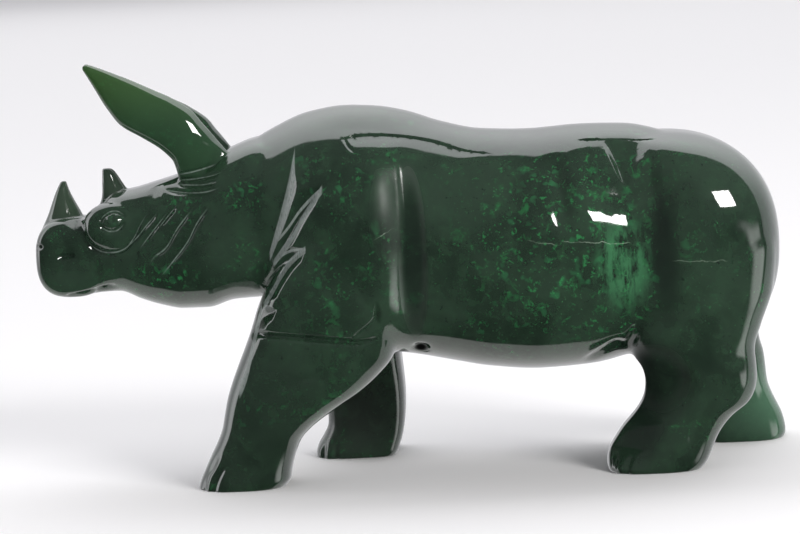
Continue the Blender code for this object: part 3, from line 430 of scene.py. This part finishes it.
def stations(rows, count):
    """Evenly spaced stations along the rows, each with its columns' values."""
    columns = table(rows)
    for s in np.linspace(rows[0][0], rows[-1][0], count):
        yield s, *read(columns, s)


def signed_power(v, p):
    return np.sign(v) * np.abs(v) ** p


def ring(low, high, middle, half, square_high, square_low):
    """A rounded-square ring: its coordinates across and up."""
    angle = 2 * np.pi * np.arange(RING) / RING
    up, across = np.sin(angle), np.cos(angle)
    n = np.where(up > 0, square_high, square_low)
    return (middle + half * signed_power(across, 2 / n),
            (low + high) / 2 + (high - low) / 2 * signed_power(up, 2 / n))


def skin(bm, rings):
    """Joins rings of equal count into one closed body."""
    loops = [[bm.verts.new(p) for p in r] for r in rings]
    n = len(loops[0])
    for a, b in zip(loops, loops[1:]):
        for i in range(n):
            bm.faces.new((a[i], a[(i + 1) % n], b[(i + 1) % n], b[i]))
    bm.faces.new(loops[0][::-1])
    bm.faces.new(loops[-1])


def body(bm):
    front = table(SHOULDER_FRONT)
    rings = []
    for x, low, high, half in stations(TORSO, BODY_RINGS):
        across, up = ring(low, high, 0.0, 1.0, *BODY_SQUARE)
        slant = FOLD_SLANT * np.clip(-x / FOLD_GROWTH, 0, 1)
        width = read(front, x + slant * (up - FOLD_MIDDLE))[0] if x < SHOULDER_FRONT[-1][0] else half
        rings.append(np.column_stack([np.full(len(up), x), across * width, up]))
    skin(bm, rings)


def head(bm):
    rings = []
    for x, low, high, half in stations(HEAD, HEAD_RINGS):
        across, up = ring(low, high, 0.0, half, *HEAD_SQUARE)
        rings.append(np.column_stack([np.full(len(up), x), across, up]))
    skin(bm, rings)


def upright(bm, rows, square):
    """A leg or a horn: rings stacked up z."""
    rings = []
    for z, front, rear, middle, half in stations(rows, UPRIGHT_RINGS):
        across, along = ring(front, rear, middle, half, *square)
        rings.append(np.column_stack([along, across, np.full(len(along), z)])[::-1])
    skin(bm, rings)


def ear(bm, side, shift):
    rings = []
    for s, low, high, half in stations(EAR, EAR_RINGS):
        out, up = ring(low, high, 0.0, half, *EAR_SQUARE)
        rim = EAR_RIM * min(half / EAR_RIM_FULL, 1.0)
        proud = np.maximum(EAR_BEVEL[0] * (up - high) + EAR_BEVEL[1] * (out - half) + rim, 0)
        out, up = out - EAR_BEVEL[1] * proud, up - EAR_BEVEL[0] * proud
        x = EAR_ROOT[0] + shift[0] + s * EAR_ALONG[0] + up * EAR_ALONG[1]
        z = EAR_ROOT[1] + shift[1] + s * EAR_ALONG[1] - up * EAR_ALONG[0]
        rings.append(np.column_stack([x, side * (EAR_OUT + EAR_SPLAY * s + out), z])[:: -side])
    skin(bm, rings)


def lump(bm, middle, radii, outline, flatness):
    """A ball pushed towards a thick disc: its outline seen from the side, and how flat its sides are."""
    around = 2 * np.pi * np.arange(RING) / RING
    rings = []
    for tilt in np.linspace(-LUMP_TILT, LUMP_TILT, LUMP_RINGS):
        x, z = np.cos(tilt) * np.cos(around), np.cos(tilt) * np.sin(around)
        y = np.full(RING, np.sin(tilt))
        seen = (np.abs(x) ** outline + np.abs(z) ** outline) ** (1 / outline)
        size = (seen**flatness + np.abs(y) ** flatness) ** (1 / flatness)
        rings.append(np.array(middle) + np.array(radii) * np.column_stack([x, y, z]) / size[:, None])
    skin(bm, rings)


def rough_out():
    """Every mass of the animal, overlapping, ready to be fused."""
    bm = bmesh.new()
    body(bm)
    head(bm)
    for name, rows in LEGS.items():
        upright(bm, rows, LEG_SQUARE[name])
    for name, rows in HORNS.items():
        upright(bm, rows, HORN_SQUARE[name])
    for shape in LUMPS.values():
        lump(bm, *shape)
    ear(bm, -1, (0.0, 0.0))
    ear(bm, 1, FAR_EAR_SHIFT)
    bmesh.ops.recalc_face_normals(bm, faces=bm.faces[:])
    mesh = bpy.data.meshes.new("rough")
    bm.to_mesh(mesh)
    bm.free()
    return mesh


def evaluated(obj):
    """The object's mesh with its modifiers applied."""
    bpy.context.view_layer.update()
    graph = bpy.context.evaluated_depsgraph_get()
    return bpy.data.meshes.new_from_object(obj.evaluated_get(graph))


def placed(name, data):
    """A new object in the scene."""
    obj = bpy.data.objects.new(name, data)
    bpy.context.scene.collection.objects.link(obj)
    return obj


def swap_mesh(obj, mesh):
    old = obj.data
    obj.modifiers.clear()
    obj.data = mesh
    bpy.data.meshes.remove(old)


def vectors(items, name):
    flat = np.empty(3 * len(items), np.float32)
    items.foreach_get(name, flat)
    return flat.reshape(-1, 3).astype(float)


def put_points(mesh, points):
    mesh.vertices.foreach_set("co", points.astype(np.float32).ravel())
    mesh.update()


def blend(obj):
    """Softens the joins between body and legs, and leaves ears, horns and soles crisp."""
    mesh = obj.data
    x, y, z = vectors(mesh.vertices, "co").T
    soft = np.interp(x, *SOFT_BACKWARDS)
    soft *= np.interp(z, *SOFT_UPWARDS)
    ears = (x < EAR_REGION[0]) & (z > EAR_REGION[1])
    horns = (x < HORN_REGION[0]) & (z > HORN_REGION[1]) & (np.abs(y) < HORN_REGION[2])
    soft[ears | horns] = SOFT_CRISP
    group = obj.vertex_groups.new(name="soft")
    for level in range(1, SOFT_LEVELS + 1):
        members = np.nonzero(np.ceil(soft * SOFT_LEVELS) == level)[0].tolist()
        if members:
            group.add(members, level / SOFT_LEVELS, "REPLACE")
    smooth = obj.modifiers.new("soften joins", "SMOOTH")
    smooth.factor = 0.5
    smooth.iterations = round(2 * (SOFTENING / VOXEL) ** 2 / smooth.factor)
    smooth.vertex_group = group.name


def curve_through(points, per=8):
    p = np.array(points, float)
    q = np.vstack([2 * p[0] - p[1], p, 2 * p[-1] - p[-2]])
    t = (np.arange(per) / per)[:, None]
    out = []
    for a, b, c, d in zip(q, q[1:], q[2:], q[3:]):
        bend = (2 * a - 5 * b + 4 * c - d) * t**2 + (3 * b - a - 3 * c + d) * t**3
        out.append(0.5 * (2 * b + (c - a) * t + bend))
    return np.vstack(out + [p[-1:]])


def from_line(points, line):
    """Distance to the line, its side (positive to the right along it), and the share along it."""
    best = np.full(len(points), np.inf)
    side = np.zeros(len(points))
    share = np.zeros(len(points))
    lengths = np.linalg.norm(np.diff(line, axis=0), axis=1)
    run = np.concatenate([[0], np.cumsum(lengths)])
    for i, (a, b) in enumerate(zip(line, line[1:])):
        along = b - a
        w = points - a
        t = np.clip(w @ along / (along @ along), 0, 1)
        off = w - t[:, None] * along
        d = np.hypot(off[:, 0], off[:, 1])
        near = d < best
        best[near] = d[near]
        side[near] = np.sign(along[1] * w[near, 0] - along[0] * w[near, 1])
        share[near] = (run[i] + t[near] * lengths[i]) / run[-1]
    return best, side, share


def fade(share, first, last):
    f = np.ones_like(share)
    if first > 0:
        f *= np.clip(share / first, 0, 1)
    if last > 0:
        f *= np.clip((1 - share) / last, 0, 1)
    return f * f * (3 - 2 * f)


def smooth_step(value, low, high):
    t = np.clip((value - low) / (high - low), 0, 1)
    return t * t * (3 - 2 * t)


def falls(value, low, high):
    """1 below low and 0 above high."""
    return smooth_step(-value, -high, -low)


def plates(p):
    """The shoulder plate's step down to the ribs and the hip plate's rise."""
    move = np.zeros(len(p))
    d, side, share = from_line(p, curve_through(SHOULDER_REAR))
    q = d * side
    droop, length, depth, width, ramp = SHOULDER_STEP
    step = droop * np.clip(q / length + 1, 0, 1) ** 2 + depth * smooth_step(q, 0, width)
    move -= step * np.exp(-np.maximum(q, 0) / ramp) * fade(share, *STEP_FADE)
    height, ahead, width = SHOULDER_ROLL
    move += height * np.exp(-(((q + ahead) / width) ** 2)) * fade(share, *ROLL_FADE)
    d, side, share = from_line(p, curve_through(HIP_FRONT))
    q = d * side
    depth, ramp, bottom, rise = HIP_VALLEY
    valley = np.where(q < 0, soft_steps(q + ramp + bottom, ramp), np.exp(-((q / rise) ** 2)))
    move -= depth * valley * fade(share, *VALLEY_FADE)
    return move


def within(points, line, reach):
    """Which points lie in the line's own box, widened by its reach."""
    return np.nonzero(np.all((points > line.min(0) - reach) & (points < line.max(0) + reach), axis=1))[0]


def soft_steps(value, width):
    """0 below zero and 1 above width, with an even slope and short rounded ends."""
    t = np.clip(value / width, 0, 1)
    return t + 0.5 * (t * t * (3 - 2 * t) - t)


def bent(over, blend):
    """The value where it is positive, going softly to 0."""
    return 0.5 * (over + np.hypot(over, blend))


def hollow_cut(x, y, z):
    """The three-cornered hollow before the hip."""
    left, right, foot = HOLLOW
    up = z - foot[1]
    inside_left = (x - foot[0]) - (left[0] - foot[0]) * up / (left[1] - foot[1])
    inside_right = (foot[0] - x) + (right[0] - foot[0]) * up / (right[1] - foot[1])
    front_wall = HOLLOW_WALLS[0] + HOLLOW_WALLS[1] * np.maximum(up, 0)
    wall = soft_steps(inside_left, front_wall) * soft_steps(inside_right, HOLLOW_WALLS[2])
    over = np.abs(y) - HOLLOW_FOOT_OUT + HOLLOW_LEAN * up
    sill = np.clip((up + HOLLOW_SILL) / (2 * HOLLOW_SILL), 0, 1)
    return bent(over, HOLLOW_BLEND) * (over > -FLAT_REACH) * wall * sill


def bend_cut(x, z):
    """The bend inwards under the hollow."""
    (bx, bz), half, sag, rate, reach = BEND
    share = (x - bx) / half
    cut = rate * np.clip(z - bz - sag * share**2, 0, reach) ** 2
    return cut * falls(np.abs(share), *BEND_ENDS) * falls(z, *BEND_TOP)


def facet_cut(x, y, z):
    """The facets along the top of the muzzle and of the brow."""
    cut = np.zeros(len(x))
    front, rear = FACET_ENDS
    for out, lean, least, edge in FACETS:
        line = np.array(edge)
        flat = np.maximum(out - lean * (z - np.interp(x, line[:, 0], line[:, 1])), least)
        ends = np.clip((x - line[0, 0]) / front, 0, 1) * np.clip((line[-1, 0] - x) / rear, 0, 1)
        cut = np.maximum(cut, np.clip(np.abs(y) - flat, 0, FACET_DEPTH) * ends)
    return cut * (z > FACET_HEIGHTS[0]) * (z < FACET_HEIGHTS[1])


def hind_leg_cut(x, y, z):
    """The facet down the front of the near hind leg."""
    columns = table(LEGS["near_hind"])
    ahead = x - np.interp(z, columns[0], columns[1])
    start, slope = HIND_FACET
    softness, most = HIND_FACET_DEPTH
    inner, rear = HIND_FACET_REGION
    begin, length = HIND_FACET_FOOT
    over = -y - start - slope * ahead
    cut = np.clip(bent(over, softness), 0, most) * (over > -FLAT_REACH) * (y < -inner) * (x < rear)
    cut = cut * np.clip(ahead + HIND_FACET_START, 0, 1) * np.clip((z - begin) / length, 0, 1)
    return cut * falls(z, *HIND_FACET_TOP)


def flats(points):
    """How far each side is cut in, straight across."""
    x, y, z = points.T
    cut = np.maximum(hollow_cut(x, y, z), bend_cut(x, z) * (np.abs(y) > BEND_OUT))
    return np.maximum(np.maximum(cut, facet_cut(x, y, z)), hind_leg_cut(x, y, z))


def carve(mesh):
    """Moves the surface along its normals: plates and swellings first, then the cut lines."""
    points = vectors(mesh.vertices, "co")
    normals = vectors(mesh.vertex_normals, "vector")
    least, range_over = FACING
    facing = np.clip((np.abs(normals[:, 1]) - least) / range_over, 0, 1)
    move = np.zeros(len(points))
    inwards = np.zeros(len(points))
    for side, own_lines in ((-1, NEAR_LINES), (1, FAR_LINES)):
        on = np.nonzero(side * points[:, 1] > MIDDLE_STRIP)[0]
        p = points[on][:, [0, 2]]
        w = facing[on]
        m = plates(p) * w
        for (cx, cz), (rx, rz), height, near_only in SWELLINGS:
            if side < 0 or not near_only:
                m += height * np.exp(-(((p[:, 0] - cx) / rx) ** 2) - ((p[:, 1] - cz) / rz) ** 2) * w
        cuts = np.zeros(len(on))
        deep = np.zeros(len(on))
        for _, line, depth, width, first, last in GROOVES + FINE_LINES + own_lines:
            line = curve_through(line)
            k = within(p, line, GROOVE_REACH * width)
            if len(k):
                d, _, share = from_line(p[k], line)
                cut = depth * np.exp(-((d / width) ** 2)) * fade(share, first, last) * w[k]
                cuts[k] = np.maximum(cuts[k], cut)
        for _, line, depth, width_right, width_left, first, last in WEDGES:
            line = curve_through(line)
            k = within(p, line, max(width_right, width_left))
            if len(k):
                d, right, share = from_line(p[k], line)
                size = fade(share, first, last)
                reach = np.where(right > 0, width_right, width_left) * np.maximum(size, 1e-3)
                cut = depth * size * soft_steps(1 - d / reach, 1.0) * w[k]
                deep[k] = np.maximum(deep[k], cut)
        ex, ez, erx, erz = EYE
        bulge, rise = EYE_BULGE
        ball = 1 - ((p[:, 0] - ex) / erx) ** 2 - ((p[:, 1] - ez) / erz) ** 2
        m += bulge * np.clip(ball, 0, 1) ** rise * w - cuts
        move[on] += m
        inwards[on] += deep
    points += normals * move[:, None]
    points[:, 1] -= np.sign(points[:, 1]) * inwards
    points[:, 1] -= np.sign(points[:, 1]) * flats(points)
    put_points(mesh, points)


def flat_soles(mesh):
    """Grinds the feet flat at one height and closes the four cuts."""
    bm = bmesh.new()
    bm.from_mesh(mesh)
    bmesh.ops.bisect_plane(bm, geom=bm.verts[:] + bm.edges[:] + bm.faces[:], dist=1e-4,
                           plane_co=(0, 0, SOLE_CUT), plane_no=(0, 0, 1), clear_inner=True)
    rim = [e for e in bm.edges if e.is_boundary]
    made = bmesh.ops.holes_fill(bm, edges=rim, sides=0)
    bmesh.ops.triangulate(bm, faces=made["faces"])
    bmesh.ops.recalc_face_normals(bm, faces=bm.faces[:])
    bm.to_mesh(mesh)
    bm.free()


class Nodes:
    """Adds shader nodes and links them in one line each."""

    def __init__(self, tree):
        self.tree = tree

    def feed(self, node, inputs):
        """Links each input to a socket or sets it to a value."""
        for key, value in inputs.items():
            if isinstance(value, bpy.types.NodeSocket):
                self.tree.links.new(value, node.inputs[key])
            else:
                node.inputs[key].default_value = value

    def add(self, kind, inputs=None, **settings):
        node = self.tree.nodes.new("ShaderNode" + kind)
        for name, value in settings.items():
            setattr(node, name, value)
        self.feed(node, inputs or {})
        return node

    def math(self, operation, a, b=0.0):
        return self.add("Math", {0: a, 1: b}, operation=operation).outputs[0]

    def scaled(self, value, factor, added, clamp=False):
        """value * factor + added"""
        return self.add("Math", {0: value, 1: factor, 2: added}, operation="MULTIPLY_ADD",
                        use_clamp=clamp).outputs[0]

    def product(self, first, *others):
        for other in others:
            first = self.math("MULTIPLY", first, other)
        return first

    def largest(self, first, *others):
        for other in others:
            first = self.math("MAXIMUM", first, other)
        return first

    def vector(self, operation, a, b):
        return self.add("VectorMath", {0: a, 1: b}, operation=operation).outputs[0]

    def spread(self, value, low, high, to_low=0.0, to_high=1.0, smooth=True):
        """The value read between low and high, as a number from to_low to to_high."""
        node = self.add("MapRange", {"Value": value, "From Min": low, "From Max": high,
                                     "To Min": to_low, "To Max": to_high},
                        interpolation_type="SMOOTHSTEP" if smooth else "LINEAR")
        return node.outputs["Result"]

    def noise(self, vector, scale, detail, roughness, distortion=0.0):
        node = self.add("TexNoise", {"Vector": vector, "Scale": scale, "Detail": detail,
                                     "Roughness": roughness, "Distortion": distortion})
        return node.outputs["Fac"]

    def patchy(self, vector, noise, span, low=0.0, high=1.0):
        """Noise that comes in between the two values of span, running from low to high."""
        return self.spread(self.noise(vector, *noise), *span, low, high)

    def mix(self, share, a, b):
        """Colour a with that share of colour b. The node's sockets for colours are 6, 7 and 2."""
        a, b = [c if isinstance(c, bpy.types.NodeSocket) else (*c, 1.0) for c in (a, b)]
        return self.add("Mix", {0: share, 6: a, 7: b}, data_type="RGBA").outputs[2]

    def along(self, axes, line, width, width_behind=None, ends=0.25, core=0.3):
        """A mask along points (x, z) that never turn back in x: 1 on the line and 0 at its half width."""
        points = sorted((px - OFFSET[0], pz - OFFSET[1]) for px, pz in line)
        xs, zs = zip(*points)
        x0, x1, z0, z1 = xs[0], xs[-1], min(zs), max(zs)
        share = self.spread(axes["X"], x0, x1, smooth=False)
        node = self.add("FloatCurve", {"Value": share})
        curve = node.mapping.curves[0]
        stops = [((px - x0) / (x1 - x0), (pz - z0) / (z1 - z0)) for px, pz in points]
        for stop in stops[1:-1]:
            curve.points.new(*stop)
        curve.points[0].location = stops[0]
        curve.points[len(stops) - 1].location = stops[-1]
        node.mapping.update()
        height = self.scaled(node.outputs[0], z1 - z0, z0)
        off = self.math("ABSOLUTE", self.math("SUBTRACT", axes["Z"], height))
        steep = math.hypot(1.0, (z1 - z0) / (x1 - x0))
        half = self.spread(share, 0.0, 1.0, width * steep, (width_behind or width) * steep, smooth=False)
        mask = self.spread(self.math("DIVIDE", off, half), 1.0, core)
        return self.product(mask, self.spread(share, 0.0, ends), self.spread(share, 1.0, 1.0 - ends))

    def near(self, vector, middle, radii):
        """1 in the middle of an upright ellipsoid of the figure, 0 at its edge and beyond."""
        scaled = self.vector("DIVIDE", self.vector("SUBTRACT", vector, middle), radii)
        length = self.add("VectorMath", {0: scaled}, operation="LENGTH").outputs["Value"]
        return self.spread(length, 1.0, 0.35)

    def zones(self, vector, rows):
        """The strongest of several zones at each place."""
        return self.largest(*[self.product(self.near(vector, middle, radii), *strength)
                              for middle, radii, *strength in rows])


def mottled(n, place):
    """Dark green stone with clouds, and brighter flecks in patches."""
    colour = n.mix(n.patchy(place, *BASE), *BASE_TONES)
    for noise, span, strength, tone in CLOUDS:
        colour = n.mix(n.product(n.patchy(place, noise, span), strength), colour, tone)
    patches = n.product(n.patchy(place, *PATCHES), PATCH_STRENGTH)
    lively = n.largest(n.zones(place, LIVELY), patches)
    for noise, span, strength, tone in FLECKS:
        colour = n.mix(n.product(n.patchy(place, noise, span), lively, strength), colour, tone)
    specks = n.product(n.patchy(place, *SPECKS), n.scaled(lively, *SPECK_SHARE, clamp=True))
    return n.mix(specks, colour, SPECK_TONE)


def toned(n, place, height, colour):
    """The colour with painted light and shade laid over it in places: a painted glow under the hollow,
    painted shade in the recesses, painted reflections on the horns and the far hind foot, a painted grey on
    the far fore leg, a painted glow at the ear tips, and greener ears.
    """
    # Painted glow of light through the stone under the hollow, broken into streaks
    middle, radii, strength, tone = UNDER_HOLLOW_GLOW
    streaks = n.patchy(n.vector("MULTIPLY", place, STREAK_STRETCH), *STREAKS)
    colour = n.mix(n.product(n.near(place, middle, radii), streaks, strength), colour, tone)
    # Painted shade: the colour darkened in the recesses before the hip, behind the shoulder and on the near
    # legs
    strength, tone = PAINTED_SHADE_TONE
    colour = n.mix(n.product(n.zones(place, PAINTED_SHADE), strength), colour, tone)
    # Greener ears, and painted light and shade: the far fore leg's painted grey, the far hind foot's
    # painted sheen, the horns' painted pale reflections
    for middle, radii, strength, tone in TINTS_AND_PAINTED_LIGHT:
        colour = n.mix(n.product(n.near(place, middle, radii), strength), colour, tone)
    # Painted glow at the ear tips
    heights, strength, tone = EAR_TIP_GLOW
    return n.mix(n.product(n.spread(height, *heights), strength), colour, tone)


def with_pale_lines(n, place, axes, colour):
    """The colour made pale in patches along the engraved lines."""
    paleness = n.patchy(place, *PALE_LINE_NOISE)
    for name, line, *_ in FINE_LINES:
        if name in PALE_LINES:
            colour = n.mix(n.product(n.along(axes, line, PALE_LINES[name]), paleness), colour, PALE_LINE_TONE)
    return colour


def matt_faces_painted_pale(n, place, axes):
    """The matt faces along the folds of both shoulders, painted pale in fine streaks: a painted reflection.
    """
    faces = [n.along(axes, line, width, width_behind, ends=0.04, core=0.75)
             for line, width, width_behind in PAINTED_REFLECTION_FACES]
    reflection_streaks = n.patchy(n.vector("MULTIPLY", place, REFLECTION_STREAK_STRETCH), *REFLECTION_STREAKS)
    sides = n.spread(n.math("ABSOLUTE", axes["Y"]), *SIDES)
    return n.product(n.largest(*faces), n.product(reflection_streaks, sides))


def cracked(n, place, axes, colour):
    """The colour with pale hairline cracks that waver and thin out in places."""
    near_side = n.spread(axes["Y"], *NEAR_SIDE)
    gaps = n.patchy(place, *CRACK_GAPS)
    before, after = CRACK_ENDS
    for (x0, z0), (x1, z1), strength in CRACKS:
        height = n.spread(axes["X"], x0, x1, z0, z1, smooth=False)
        wobble = n.scaled(n.noise(place, *CRACK_WOBBLE), CRACK_SWING, -CRACK_SWING / 2)
        off = n.math("ABSOLUTE", n.math("ADD", n.math("SUBTRACT", axes["Z"], height), wobble))
        line = n.product(n.spread(off, *CRACK_WIDTH), gaps,
                         n.spread(axes["X"], x0 - before, x0 + after),
                         n.spread(axes["X"], x1 + before, x1 - after), near_side)
        colour = n.mix(n.product(line, strength), colour, CRACK_TONE)
    return colour


def jade():
    """Polished nephrite: dark mottled green, brighter green flecks in patches, pale hairline cracks."""
    material = bpy.data.materials.new("nephrite_jade")
    material.use_nodes = True
    tree = material.node_tree
    n = Nodes(tree)
    place = n.add("TexCoord").outputs["Object"]
    place = n.add("VectorMath", {0: place, "Scale": 1 / MM}, operation="SCALE").outputs[0]
    axes = n.add("SeparateXYZ", {0: place}).outputs

    # Each layer of colour goes over those before it
    spot = n.near(place, (SPOT[0] - OFFSET[0], SPOT[1], SPOT[2] - OFFSET[1]), SPOT_RADII)
    matt_painted_reflection = matt_faces_painted_pale(n, place, axes)
    colour = toned(n, place, axes["Z"], mottled(n, place))
    # Painted shade: the pit on the belly near black
    colour = n.mix(spot, colour, PIT_PAINTED_SHADE)
    # Painted reflection: the fold faces painted pale and left matt, over the pale engraved lines
    colour = n.mix(matt_painted_reflection, with_pale_lines(n, place, axes, colour), PAINTED_REFLECTION_TONE)
    colour = cracked(n, place, axes, colour)

    # The polish, soft or missing in places
    dull = n.near(place, *FAR_FORE_LEG)
    soft = n.near(place, *SOFTER)
    matt = n.largest(spot, n.zones(place, UNPOLISHED))
    haze = n.patchy(place, *POLISH)
    haze = n.math("ADD", haze, n.product(n.largest(dull, matt_painted_reflection), DULL_ROUGHNESS))
    haze = n.math("ADD", haze, n.product(soft, SOFTER_ROUGHNESS))
    haze = n.largest(haze, n.product(matt, MATT_ROUGHNESS))
    coat = n.math("SUBTRACT", COAT, n.product(n.largest(dull, soft, matt, matt_painted_reflection), COAT))
    specular = n.largest(matt, n.product(soft, SOFTER_SPECULAR))
    specular = n.spread(specular, 0.0, 1.0, *SPECULAR, smooth=False)
    wave = n.noise(place, *WAVES)
    bump = n.add("Bump", {"Strength": 0.12, "Distance": 0.0001, "Height": wave})
    n.feed(tree.nodes["Principled BSDF"], {
        "Base Color": colour, "Roughness": haze, "IOR": 1.62, "Specular IOR Level": specular,
        "Coat Weight": coat, "Coat Roughness": 0.03, "Normal": bump.outputs["Normal"],
    })
    return material


def rhinoceros():
    """The finished skin in metres, its soles at height 0 and the origin in the middle of its box."""
    obj = placed("jade_rhinoceros", rough_out())
    fuse = obj.modifiers.new("fuse", "REMESH")
    fuse.mode = "VOXEL"
    fuse.voxel_size = VOXEL
    swap_mesh(obj, evaluated(obj))
    blend(obj)
    swap_mesh(obj, evaluated(obj))
    carve(obj.data)
    triangles = 2 * len(obj.data.polygons)
    if triangles > TRIANGLES:
        thin = obj.modifiers.new("fewer faces", "DECIMATE")
        thin.ratio = TRIANGLES / triangles
        thin.use_collapse_triangulate = True
        swap_mesh(obj, evaluated(obj))
    flat_soles(obj.data)
    points = vectors(obj.data.vertices, "co")
    low, high = points.min(0), points.max(0)
    points -= [(low[0] + high[0]) / 2, (low[1] + high[1]) / 2, low[2]]
    put_points(obj.data, points * MM)
    obj.data.shade_smooth()
    obj.data.materials.append(jade())
    return obj


# The camera looks down on the left side from slightly behind square, turned a little clockwise.
CAMERA_TARGET = Vector((-0.0022, 0.0, 0.03325))
CAMERA_DISTANCE = 0.450
CAMERA_HEIGHT = math.radians(6.5)
CAMERA_SIDE = math.radians(1.5)
CAMERA_ROLL = math.radians(2.75)
CAMERA_LENS = 121.04
# Lights: side and height in degrees round the figure, distance and size in metres, radiance, tint.
LIGHTS = {
    "window": (46.5, 26.0, 1.2, (0.46, 0.32), 20.0, (1.0, 0.99, 0.97)),
    "overhead": (180.0, 76.0, 4.5, (10.0, 10.0), 0.62, (1.0, 1.0, 1.0)),
}
# The surroundings by direction: how far it points up, across to the rump's side, or to the camera
# (facing). Things fade in between two such values.
PAPER_SPAN = (0.03, -0.03)  # facing, past the paper's edge
PAPER_EDGE = (-0.7, 0.1, 0.02, -0.16)  # up from and to, and how far the edge faces the camera there
PAPER_TONE = (0.62, 0.62, 0.64)
PAPER_TOP = ((0.15, 0.95), (1.7, 1.7, 1.75))
PAPER_BOTTOM = ((-0.15, -0.95), (0.85, 0.84, 0.83))
# On the nose's side the paper comes further round and is brighter.
LEFT_ACROSS = (-0.55, -0.85)
LEFT_UP = (-0.25, 0)
LEFT_FURTHER = 0.12
LEFT_FACING = (-0.6, -0.2)
LEFT_TONE = (2.1, 2.1, 2.15)
ROOM = ((-0.6, 0.8), (0.030, 0.029, 0.028), (0.110, 0.110, 0.115))
# A low light at the rump's side
LOW_ACROSS = (0.78, 0.90)
LOW_FACING = (-0.02, 0.10)
LOW_UP = ((0.12, -0.02), (-0.62, -0.35))
LOW_TONE = (1.8, 1.85, 1.8)
BACKDROP = (0.88, 0.875, 0.90)  # what the camera itself sees behind the floor
FLOOR_DROP = 0.00005  # how far the floor lies below the soles, in metres


def towards(side, height):
    """The direction from the figure to the camera side, turned towards +X by side and raised by height."""
    return Vector((math.sin(side) * math.cos(height), -math.cos(side) * math.cos(height), math.sin(height)))


def camera():
    back = towards(CAMERA_SIDE, CAMERA_HEIGHT)
    right = Vector((math.cos(CAMERA_SIDE), math.sin(CAMERA_SIDE), 0.0))
    up = back.cross(right)
    turned_right = right * math.cos(CAMERA_ROLL) - up * math.sin(CAMERA_ROLL)
    turned_up = right * math.sin(CAMERA_ROLL) + up * math.cos(CAMERA_ROLL)
    data = bpy.data.cameras.new("camera")
    data.lens = CAMERA_LENS
    data.sensor_width = 36.0
    obj = placed("camera", data)
    turn = Matrix((turned_right, turned_up, back)).transposed().to_4x4()
    obj.matrix_world = Matrix.Translation(CAMERA_TARGET + back * CAMERA_DISTANCE) @ turn
    bpy.context.scene.camera = obj


def soft_box(name, side, height, distance, size, radiance, tint):
    """A rectangular light that faces the figure."""
    data = bpy.data.lights.new(name, "AREA")
    data.shape = "RECTANGLE"
    data.size, data.size_y = size
    data.energy = radiance * math.pi * size[0] * size[1]
    data.color = tint
    obj = placed(name, data)
    out = towards(math.radians(side), math.radians(height))
    obj.location = CAMERA_TARGET + out * distance
    obj.rotation_euler = out.to_track_quat("Z", "Y").to_euler()


def surroundings():
    """A dark room on the camera's side, and pale paper everywhere else."""
    world = bpy.data.worlds.new("studio")
    bpy.context.scene.world = world
    world.use_nodes = True
    tree = world.node_tree
    n = Nodes(tree)
    direction = n.add("TexCoord").outputs["Generated"]
    back = towards(CAMERA_SIDE, CAMERA_HEIGHT)
    facing = n.add("VectorMath", {0: direction, 1: back}, operation="DOT_PRODUCT").outputs["Value"]
    axes = n.add("SeparateXYZ", {0: direction}).outputs
    up, across = axes["Z"], axes["X"]
    left = n.product(n.spread(across, *LEFT_ACROSS), n.spread(up, *LEFT_UP))
    edge = n.spread(up, *PAPER_EDGE, smooth=False)
    edge = n.math("ADD", edge, n.product(left, LEFT_FURTHER))
    paper = n.spread(n.math("SUBTRACT", facing, edge), *PAPER_SPAN)
    colour = PAPER_TONE
    for span, tone in (PAPER_TOP, PAPER_BOTTOM):
        colour = n.mix(n.spread(up, *span), colour, tone)
    colour = n.mix(n.product(left, n.spread(facing, *LEFT_FACING)), colour, LEFT_TONE)
    span, low_tone, high_tone = ROOM
    room = n.mix(n.spread(up, *span), low_tone, high_tone)
    low_light = n.product(n.spread(across, *LOW_ACROSS), n.spread(facing, *LOW_FACING),
                          *[n.spread(up, *span) for span in LOW_UP])
    room = n.mix(low_light, room, LOW_TONE)
    colour = n.mix(paper, room, colour)
    seen = n.add("LightPath").outputs["Is Camera Ray"]
    colour = n.mix(seen, colour, BACKDROP)
    n.feed(tree.nodes["Background"], {"Color": colour, "Strength": 1.0})


def floor():
    """A plain pale floor. Polished stone mirrors the paper round it, not this sheet."""
    mesh = bpy.data.meshes.new("floor")
    bm = bmesh.new()
    bmesh.ops.create_circle(bm, cap_ends=True, segments=96, radius=40.0)
    bm.to_mesh(mesh)
    bm.free()
    obj = placed("floor", mesh)
    obj.location.z = -FLOOR_DROP
    material = bpy.data.materials.new("floor")
    material.use_nodes = True
    tree = material.node_tree
    Nodes(tree).feed(tree.nodes["Principled BSDF"], {
        "Base Color": (0.92, 0.91, 0.92, 1.0), "Roughness": 0.9, "Specular IOR Level": 0.1,
    })
    mesh.materials.append(material)
    obj.visible_glossy = False


bpy.context.scene.view_settings.view_transform = "Standard"
camera()
surroundings()
floor()
for light, settings in LIGHTS.items():
    soft_box(light, *settings)
bpy.data.objects["overhead"].visible_glossy = False

piece = rhinoceros()
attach(piece, "root")
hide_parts("rhinoceros")
